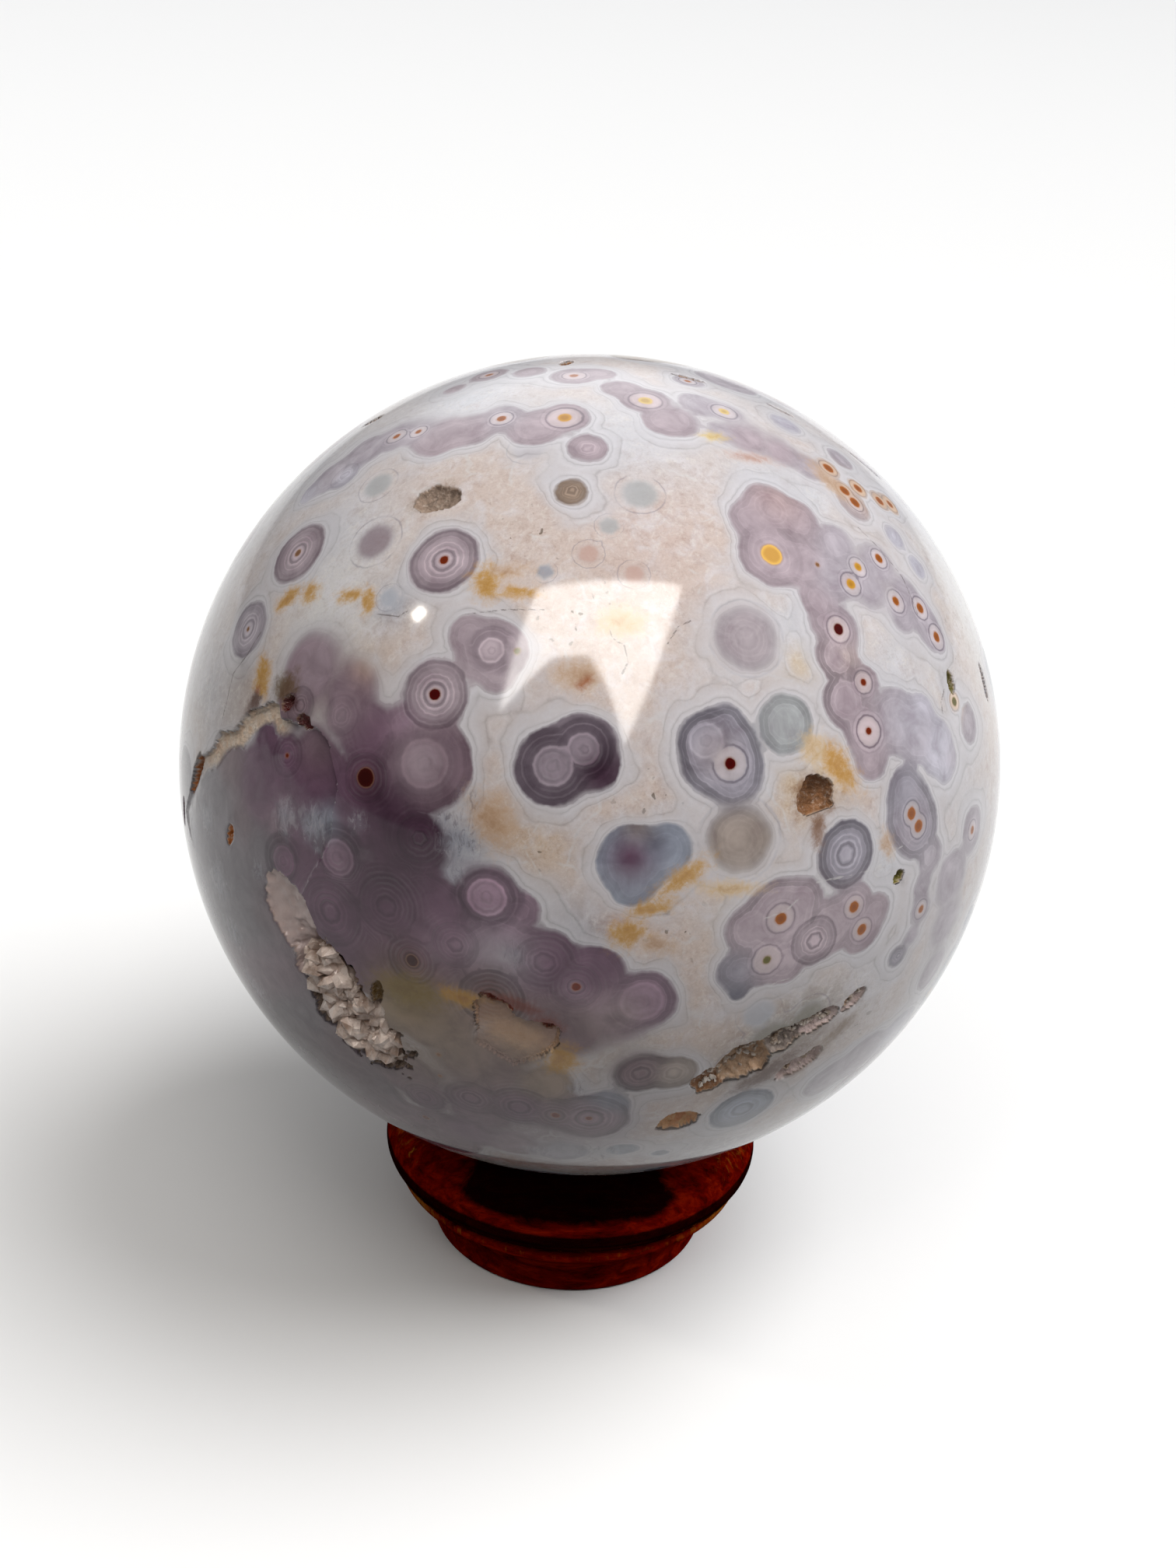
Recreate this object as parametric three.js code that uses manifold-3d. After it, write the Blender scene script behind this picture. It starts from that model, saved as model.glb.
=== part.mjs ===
// An ocean jasper sphere resting in a small turned wooden ring stand.
// Millimetres, +Z up. The origin is the centre of the stand's foot, on the surface that it stands on.
// The polished ball is one stone. Its pits, ledges and druzy hollows are cut into it, and the small
// crystals that line its hollows are grown from it. The largest hollow holds a crust of its own.
// Places on the ball are given as a heading and a height in degrees: heading 0 looks out along -Y,
// a positive heading turns towards +X, and height 90 is the top.

import * as THREE from 'three';
import { mergeVertices } from 'three/addons/utils/BufferGeometryUtils.js';
import Module from 'manifold-3d';

const wasm = await Module();
wasm.setup();

// The ball
const ballRadius = 32;
const ballCentreHeight = 43.2;
const ballDetail = 11;
const seatGap = 0.3;

// The stand, from the floor up
const foot = { radius: 11.75, height: 2.4, coveRadius: 12.3, coveHeight: 3.5 };
const flange = { radius: 14.9, low: 5.4, high: 6.6, edge: 0.25 };
const groove = { radius: 14.2, low: 6.8, high: 7.15 };
const bead = { radius: 15.92, middle: 8.2, crestRadius: 10.6, steps: 6 };
const dish = { seatRadius: 9.8, steps: 4, extraDepth: 0.5 };
const standSides = 36;

// Hollows and pits: heading, height and turn in degrees, then the opening's length and width and the
// hollow's depth in mm. A hollow's long side lies along its turn, counted from level.
const bigHollow = {
  main: { heading: -29.5, height: -13.5, turn: -52, length: 10.4, width: 6.2, depth: 2.7 },
  head: { heading: -34, height: -6.5, turn: -40, length: 6.4, width: 4.6, depth: 1.7 },
};
const shallowLobe = { heading: -38.5, height: -1.2, turn: -48, length: 6.4, width: 4.4, depth: 0.8 };
const facePits = {
  redPitHigh: { heading: -44.9, height: 24.4, turn: 60, length: 1.5, width: 1.1, depth: 0.9 },
  redPitLow: { heading: -41, height: 23, turn: 10, length: 1.5, width: 1.2, depth: 0.9 },
  ledgeCrevice: { heading: -64, height: 8, turn: 70, length: 4.2, width: 0.8, depth: 1.2 },
  ledgeEnd: { heading: -70, height: -0.5, turn: 80, length: 2.6, width: 0.8, depth: 0.9 },
  leftPit: { heading: -52, height: 4.5, turn: 85, length: 1.8, width: 0.9, depth: 0.6 },
  yellowVug: { heading: -22.5, height: -9.5, turn: 80, length: 2.6, width: 1.2, depth: 0.8 },
  patchPitLeft: { heading: -9.8, height: -5.2, turn: -20, length: 2.4, width: 0.9, depth: 0.8 },
  patchPitRight: { heading: -3.4, height: -8.2, turn: -15, length: 1.7, width: 0.9, depth: 0.8 },
  brownVug: { heading: 29.6, height: 20, turn: 25, length: 3.2, width: 2.5, depth: 1 },
  highVug: { heading: -37.5, height: 54.8, turn: 20, length: 3.6, width: 2.4, depth: 0.7 },
  cornerPit: { heading: 42.5, height: 6.9, turn: 30, length: 1.2, width: 0.9, depth: 0.6 },
  pinkVug: { heading: 15.3, height: -26.4, turn: 30, length: 2.9, width: 2.4, depth: 1.1 },
  greenPit: { heading: 61.4, height: 26.6, turn: 75, length: 1.8, width: 1.2, depth: 0.6 },
  sidePit: { heading: 75, height: 22, turn: 80, length: 3, width: 1.1, depth: 0.7 },
  sideSlit: { heading: 84, height: 10, turn: 85, length: 3.4, width: 0.7, depth: 0.8 },
  crownSlitLeft: { heading: -116, height: 83.6, turn: 10, length: 2, width: 0.9, depth: 0.7 },
  crownSlitRight: { heading: 93, height: 79.8, turn: 80, length: 2.6, width: 0.8, depth: 0.8 },
  shoulderSlit: { heading: 92, height: 67, turn: 85, length: 2.2, width: 0.8, depth: 0.7 },
  shoulderCrack: { heading: 92, height: 53.4, turn: 88, length: 4.4, width: 0.8, depth: 0.9 },
  leftShoulderPit: { heading: -93, height: 57, turn: 80, length: 1.9, width: 1, depth: 0.8 },
};
const backPits = {
  backVug: { heading: 158, height: 14, turn: 35, length: 6.8, width: 4, depth: 1.9 },
  backVugTail: { heading: 150, height: 8.5, turn: 50, length: 3.8, width: 2.2, depth: 1.1 },
  backSlit: { heading: -150, height: 32, turn: 65, length: 3.8, width: 0.8, depth: 0.8 },
  backLow: { heading: -128, height: -19, turn: -30, length: 4.4, width: 2.4, depth: 1.2 },
  backSmall: { heading: 121, height: -12, turn: 15, length: 2.4, width: 1.8, depth: 0.9 },
  backRound: { heading: 178, height: -27, turn: 0, length: 2.2, width: 1.8, depth: 0.9 },
  backCrown: { heading: -172, height: 61, turn: 40, length: 2.8, width: 1.4, depth: 0.8 },
};

// The druzy band low on the right: a chain of hollows with small crystals on their floors
const druzyBand = [
  { heading: 18.5, height: -17.4, turn: 35, length: 3.4, width: 2.2, depth: 0.7 },
  { heading: 22.2, height: -15.2, turn: 35, length: 4.6, width: 3.6, depth: 1.5 },
  { heading: 27.2, height: -12.4, turn: 25, length: 4.4, width: 2.2, depth: 0.9 },
  { heading: 32, height: -10.8, turn: 15, length: 3.8, width: 1.9, depth: 0.7 },
  { heading: 31.2, height: -18.4, turn: 30, length: 4.2, width: 1.9, depth: 0.7 },
  { heading: 37.5, height: -9, turn: 40, length: 2.6, width: 1.4, depth: 0.6 },
];

// Steps in the polished surface: each is a floor that lies deepest under its sharp edge and rises to
// nothing at its far side. Outlines are in mm from the centre, along the level and up the ball.
const ledge = {
  heading: -50, height: 12, deepHeading: -52, deepHeight: 22, fadeHeading: -49, fadeHeight: -1, shift: 1.5,
  outline: [
    [-10.1, -6.2], [-8.4, -3.6], [-6.9, -0.6], [-5.4, 0.4], [-4.4, 2.2], [-2.5, 3.1], [-1.4, 4.9],
    [0.8, 6.4], [1.9, 6.5], [2.4, 5.7], [4, 6], [5.9, 6.4], [7.5, 5.6], [9, 3.4], [9.4, -1], [7, -6],
    [0, -9], [-8, -9],
  ],
};
const patch = {
  heading: -7, height: -9, deepHeading: -5, deepHeight: -6, fadeHeading: -9, fadeHeight: -17, shift: 2.6,
  outline: [
    [-3.1, 1.9], [-2.2, 2.5], [-1.3, 2.4], [-0.6, 1.6], [0.5, 1], [1.9, 0.9], [2.9, 0.2], [2.7, -1.2],
    [1.9, -2.1], [-0.4, -3.3], [-3, -1.6],
  ],
};
const stepReach = 4;

// Pits narrower than this are cut with a plainer lump
const narrowPit = 1.3;

// Crystals: how many along and across each lined hollow, and their size in mm
const crust = { clearance: 0.42, bedDepth: 0.95, rootDepth: 1.7, spacing: 1.3, spread: 0.64, radius: 0.9, rise: 0.82 };
const lining = { rootDepth: 1.25, spacing: 1.05, spread: 0.68, radius: 0.5, rise: 0.7 };

const degrees = Math.PI / 180;

// Repeatable scatter between 0 and 1
function scatter(seed) {
  const wave = Math.sin(seed * 127.1 + 311.7) * 43758.5453;
  return wave - Math.floor(wave);
}

function outwardAt(heading, height) {
  const level = Math.cos(height * degrees);
  return new THREE.Vector3(
    Math.sin(heading * degrees) * level,
    -Math.cos(heading * degrees) * level,
    Math.sin(height * degrees),
  );
}

// A frame on the ball's surface: X runs level and then by the turn, Y up the ball, Z straight out
function frameAt({ heading, height, turn = 0 }) {
  const out = outwardAt(heading, height);
  const level = new THREE.Vector3(Math.cos(heading * degrees), Math.sin(heading * degrees), 0);
  const up = new THREE.Vector3().crossVectors(out, level);
  const frame = new THREE.Matrix4().makeBasis(level, up, out);
  frame.setPosition(out.clone().multiplyScalar(ballRadius));
  return frame.multiply(new THREE.Matrix4().makeRotationZ(turn * degrees));
}

function toSolid(geometry) {
  const bare = geometry.clone();
  bare.deleteAttribute('normal');
  bare.deleteAttribute('uv');
  const merged = mergeVertices(bare, 1e-4);
  return new wasm.Manifold(new wasm.Mesh({
    numProp: 3,
    vertProperties: new Float32Array(merged.attributes.position.array),
    triVerts: new Uint32Array(merged.index.array),
  }));
}

function toGeometry(solid) {
  const mesh = solid.getMesh();
  const geometry = new THREE.BufferGeometry();
  geometry.setAttribute('position', new THREE.BufferAttribute(new Float32Array(mesh.vertProperties), 3));
  geometry.setIndex(new THREE.BufferAttribute(new Uint32Array(mesh.triVerts), 1));
  geometry.computeVertexNormals();
  return geometry;
}

function unite(solids) {
  return solids.reduce((whole, solid) => whole.add(solid));
}

function ball(radius, detail = ballDetail) {
  return new THREE.IcosahedronGeometry(radius, detail);
}

// A rough faceted lump that fills a hollow, so that taking it away leaves broken, facetted walls
function lump(hollow, seed, detail = 2, clearance = 0) {
  const shape = new THREE.IcosahedronGeometry(1, detail);
  shape.deleteAttribute('normal');
  shape.deleteAttribute('uv');
  const merged = mergeVertices(shape, 1e-4);
  const place = merged.attributes.position;
  for (let i = 0; i < place.count; i += 1) {
    const swell = 0.86 + 0.26 * scatter(seed + i);
    place.setXYZ(i, place.getX(i) * swell, place.getY(i) * swell, place.getZ(i) * swell);
  }
  merged.scale(hollow.length / 2 - clearance, hollow.width / 2 - clearance, hollow.depth - clearance);
  merged.applyMatrix4(frameAt(hollow));
  return toSolid(merged);
}

// One six-sided crystal with a pointed end, standing on the local XY plane
function crystal(radius, height) {
  const profile = [
    new THREE.Vector2(0, 0),
    new THREE.Vector2(radius, 0),
    new THREE.Vector2(radius * 0.96, height * 0.55),
    new THREE.Vector2(0, height),
  ];
  return new THREE.LatheGeometry(profile, 6).rotateX(Math.PI / 2);
}

// Rows of crystals over a hollow's floor, rooted below it, each leaning and turned a little
function crystalRows(hollow, rows, rootDepth, seed) {
  const frame = frameAt(hollow);
  const lengthUsed = hollow.length * rows.spread;
  const widthUsed = hollow.width * rows.spread;
  const along = Math.max(2, Math.round(lengthUsed / rows.spacing));
  const across = Math.max(1, Math.round(widthUsed / rows.spacing));
  const crystals = [];
  for (let i = 0; i < along; i += 1) {
    for (let j = 0; j < across; j += 1) {
      const key = seed + i * 17 + j * 5;
      const x = ((i + 0.25 + 0.5 * scatter(key)) / along - 0.5) * lengthUsed;
      const y = ((j + 0.25 + 0.5 * scatter(key + 1)) / across - 0.5) * widthUsed;
      const size = 0.7 + 0.6 * scatter(key + 2);
      const shape = crystal(rows.radius * size, rows.rise * rootDepth * size);
      shape.rotateZ(Math.PI * scatter(key + 3));
      shape.rotateX(0.9 * (scatter(key + 4) - 0.5));
      shape.rotateY(0.9 * (scatter(key + 5) - 0.5));
      shape.translate(x, y, -rootDepth - (x * x + y * y) / (2 * ballRadius));
      shape.applyMatrix4(frame);
      crystals.push(toSolid(shape));
    }
  }
  return unite(crystals);
}

// The block that is taken away to leave a step: an upright prism over the outline, less a ball of the
// same size moved away from the sharp edge
function stepBlock(step) {
  const shape = new THREE.Shape(step.outline.map(([x, y]) => new THREE.Vector2(x, y)));
  const prism = new THREE.ExtrudeGeometry(shape, { depth: 2 * stepReach, bevelEnabled: false });
  prism.translate(0, 0, -stepReach);
  prism.applyMatrix4(frameAt(step));
  const deep = outwardAt(step.deepHeading, step.deepHeight);
  const fade = outwardAt(step.fadeHeading, step.fadeHeight);
  const away = deep.addScaledVector(fade, -deep.dot(fade)).normalize().multiplyScalar(-step.shift);
  const floor = ball(ballRadius).translate(away.x, away.y, away.z);
  return toSolid(prism).subtract(toSolid(floor));
}

function makeStone() {
  const whole = toSolid(ball(ballRadius));
  const pits = [bigHollow.main, bigHollow.head, shallowLobe];
  const smallPits = [...Object.values(facePits), ...Object.values(backPits), ...druzyBand];
  const cuts = pits.map((hollow, i) => lump(hollow, 40 + 90 * i));
  smallPits.forEach((hollow, i) => {
    const detail = hollow.width < narrowPit ? 0 : 1;
    cuts.push(lump(hollow, 400 + 50 * i, detail));
  });
  const carved = whole.subtract(unite(cuts)).subtract(stepBlock(ledge)).subtract(stepBlock(patch));
  const lined = [...druzyBand, backPits.backVug];
  const linings = lined.map((hollow, i) => (
    crystalRows(hollow, lining, hollow.depth * lining.rootDepth, 900 + 70 * i)
  ));
  return toGeometry(carved.add(unite(linings)));
}

function makeCrust() {
  const hollows = Object.values(bigHollow);
  const room = unite(hollows.map((hollow, i) => lump(hollow, 40 + 90 * i, 2, crust.clearance)));
  const bed = room.intersect(toSolid(ball(ballRadius - crust.bedDepth)));
  const points = unite(hollows.map((hollow, i) => (
    crystalRows(hollow, crust, crust.rootDepth, 47 + 300 * i)
  )));
  return toGeometry(bed.add(points.intersect(room)));
}

function makeStand() {
  const points = [[0, 0], [foot.radius, 0], [foot.radius, foot.height], [foot.coveRadius, foot.coveHeight]];
  points.push([flange.radius - flange.edge, flange.low], [flange.radius, flange.low + flange.edge]);
  points.push([flange.radius, flange.high - flange.edge], [flange.radius - flange.edge, flange.high]);
  points.push([groove.radius, groove.low], [groove.radius, groove.high]);
  const seatRadius = ballRadius + seatGap;
  const seatHeight = ballCentreHeight - Math.sqrt(seatRadius ** 2 - dish.seatRadius ** 2);
  points.push([bead.radius - 0.35, bead.middle - 0.75]);
  for (let i = 0; i <= bead.steps; i += 1) {
    const angle = (i / bead.steps) * Math.PI / 2;
    points.push([
      bead.crestRadius + (bead.radius - bead.crestRadius) * Math.cos(angle),
      bead.middle + (seatHeight - 0.02 - bead.middle) * Math.sin(angle),
    ]);
  }
  for (let i = 0; i < dish.steps; i += 1) {
    const radius = dish.seatRadius * (1 - i / dish.steps);
    const deeper = dish.extraDepth * (i / dish.steps);
    points.push([radius, ballCentreHeight - Math.sqrt(seatRadius ** 2 - radius ** 2) - deeper]);
  }
  points.push([0, ballCentreHeight - seatRadius - dish.extraDepth]);
  const profile = points.map(([radius, height]) => new THREE.Vector2(radius, height));
  return new THREE.LatheGeometry(profile, standSides).rotateX(Math.PI / 2);
}

function piece(name, geometry, color, roughness) {
  const material = new THREE.MeshStandardMaterial({ color, roughness, metalness: 0 });
  const mesh = new THREE.Mesh(geometry, material);
  mesh.name = name;
  return mesh;
}

const group = new THREE.Group();

const stone = new THREE.Group();
stone.position.set(0, 0, ballCentreHeight);
stone.add(piece('jasper_sphere', makeStone(), 0xb3a7a6, 0.15));
stone.add(piece('vug_crystals', makeCrust(), 0xbfab97, 0.5));
group.add(stone);

group.add(piece('ring_stand', makeStand(), 0x5a1408, 0.2));

export default group;
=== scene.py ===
import math

import bmesh
import bpy
import numpy as np
from mathutils import Matrix, Vector, noise


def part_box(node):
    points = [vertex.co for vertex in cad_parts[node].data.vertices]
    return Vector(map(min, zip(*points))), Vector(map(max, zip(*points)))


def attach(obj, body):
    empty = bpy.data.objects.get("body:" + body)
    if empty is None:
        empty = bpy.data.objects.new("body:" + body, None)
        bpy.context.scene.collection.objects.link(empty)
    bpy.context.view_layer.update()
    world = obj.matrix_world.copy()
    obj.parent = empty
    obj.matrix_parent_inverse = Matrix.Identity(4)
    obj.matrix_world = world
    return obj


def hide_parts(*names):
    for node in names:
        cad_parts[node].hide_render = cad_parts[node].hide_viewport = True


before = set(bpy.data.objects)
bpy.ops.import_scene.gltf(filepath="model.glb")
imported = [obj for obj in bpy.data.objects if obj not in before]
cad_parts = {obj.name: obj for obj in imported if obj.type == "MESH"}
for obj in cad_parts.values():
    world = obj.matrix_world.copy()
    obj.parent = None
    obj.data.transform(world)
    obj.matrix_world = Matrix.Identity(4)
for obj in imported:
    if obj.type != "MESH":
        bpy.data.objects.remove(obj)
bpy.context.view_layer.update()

mm = 0.001                      # all shaping below is in mm
ballLow, ballHigh = (np.array(corner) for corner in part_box("jasper_sphere"))
ballRadius = (ballHigh[0] - ballLow[0]) / 2 / mm
ballCentre = (ballLow + ballHigh) / 2 / mm
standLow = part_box("ring_stand")[0]


# Camera: the photograph's viewing angle
viewpoint = {
    "pitch": 25.25,             # degrees down to the ball's centre
    "roll": 2.98,
    "distance": 160.79,         # mm from the ball's centre
    "focalPixels": 2600,
    "imageWidth": 1512,
    "imageHeight": 2016,
    "ballPixel": (754, 984),    # where the ball's centre falls in the photograph
    "sensor": 36,
}


def unit(vector):
    return vector / np.linalg.norm(vector)


def turned(first, second, angle):
    cosine, sine = math.cos(angle), math.sin(angle)
    return first * cosine + second * sine, second * cosine - first * sine


def placeCamera():
    focal, height = viewpoint["focalPixels"], viewpoint["imageHeight"]
    pitch = math.radians(viewpoint["pitch"])
    place = viewpoint["distance"] * np.array([0, -math.cos(pitch), math.sin(pitch)])
    forward = -place / viewpoint["distance"]
    right = np.array([1.0, 0.0, 0.0])
    up = np.cross(right, forward)
    right, up = turned(right, up, math.radians(viewpoint["roll"]))
    x, y = viewpoint["ballPixel"]
    up, forward = turned(up, forward, math.atan((height / 2 - y) / focal))
    right, forward = turned(right, forward, math.atan((viewpoint["imageWidth"] / 2 - x) / focal))
    data = bpy.data.cameras.new("camera")
    data.sensor_fit = "VERTICAL"
    data.sensor_height = viewpoint["sensor"]
    data.lens = focal / height * viewpoint["sensor"]
    data.clip_start = 0.005
    camera = bpy.data.objects.new("camera", data)
    axes = Matrix([[right[i], up[i], -forward[i]] for i in range(3)])
    camera.matrix_world = Matrix.Translation(Vector((place + ballCentre) * mm)) @ axes.to_4x4()
    bpy.context.scene.collection.objects.link(camera)
    bpy.context.scene.camera = camera
    return place, right, up, forward


eye, eyeRight, eyeUp, eyeForward = placeCamera()
print("camera placed")


def rayThrough(x, y):
    sideways = (x - viewpoint["imageWidth"] / 2) / viewpoint["focalPixels"]
    upwards = (viewpoint["imageHeight"] / 2 - y) / viewpoint["focalPixels"]
    return unit(eyeForward + sideways * eyeRight + upwards * eyeUp)


def onBall(x, y):
    # the direction from the ball's centre to the spot that a photograph pixel shows, and mm in a pixel there
    ray = rayThrough(x, y)
    middle = -(eye @ ray)
    inside = middle ** 2 - (eye @ eye - ballRadius ** 2)
    spot = eye + (middle - math.sqrt(max(inside, 0))) * ray
    return unit(spot), (spot - eye) @ eyeForward / viewpoint["focalPixels"]


def seenFrom(direction):
    return direction @ unit(eye - ballRadius * direction)


def outwardAt(heading, height):
    level = math.cos(math.radians(height))
    across, along = math.sin(math.radians(heading)), math.cos(math.radians(heading))
    return np.array([across * level, -along * level, math.sin(math.radians(height))])


def localAxes(heading, height, turn=0):
    out = outwardAt(heading, height)
    level = np.array([math.cos(math.radians(heading)), math.sin(math.radians(heading)), 0])
    return *turned(level, np.cross(out, level), math.radians(turn)), out


# Stone colours, as a painter would name them
tones = {
    "cream": "#cabab2", "pinkCream": "#c8b1a9", "warmCream": "#cdb086", "blueWhite": "#c8c9cf",
    "white": "#d6d6d6", "iceBlue": "#a8abb5", "mauve": "#a1939a", "lilac": "#a59da5",
    "lavender": "#b2afba", "plum": "#64495c", "deepPlum": "#46303f", "greyLilac": "#8c8892",
    "blueGrey": "#8a8f9c", "slate": "#5f5f6c", "smoke": "#6f696f", "palePlum": "#8a7282",
    "taupe": "#8c7a6c", "tan": "#bb9d82", "dusk": "#6d595f", "ochre": "#ba891c", "amber": "#9a5410",
    "olive": "#5f4512", "brown": "#805a3c", "rust": "#6e2303", "red": "#4a0402", "orange": "#96520e",
    "honey": "#c08e30", "paleYellow": "#cdb26a", "moss": "#66602c", "fleshPink": "#c29c80",
    "rosy": "#b8968a", "bone": "#ccb6a0", "warmGrey": "#978b84", "halo": "#bdbbc0", "oxblood": "#3c0a06",
    "shell": "#c3b0ac", "umber": "#5a3a2c", "dimMauve": "#7b6771", "pairGrey": "#7f747d",
    "fogGrey": "#a0a2a4", "mossGrey": "#7f7b72", "paintedLightBone": "#e6d2be", "oliveGold": "#7d6624",
    "fogMauve": "#a2989d", "yolk": "#e2b45c", "peach": "#e8b68e",
}


def linear(name):
    code = tones[name]
    parts = [int(code[i:i + 2], 16) / 255 for i in (1, 3, 5)]
    return [part / 12.92 if part <= 0.04045 else ((part + 0.055) / 1.055) ** 2.4 for part in parts]


# Orb markings of the photographed face: photograph pixel, pixel radius of the body and of the core, their
# tones, and how strongly the body is ringed. Without a ring radius an orb is ringed like a target out to its
# body's edge. With one it is a pale disc of that radius: a fine dark outline surrounds it where it has a
# core, and a broad dark band where it has none.
def orb(x, y, body, core=0, tone="mauve", coreTone="rust", rings=0.8, ring=0):
    return dict(x=x, y=y, body=body, core=core, tone=tone, coreTone=coreTone, rings=rings, ring=ring)


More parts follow.
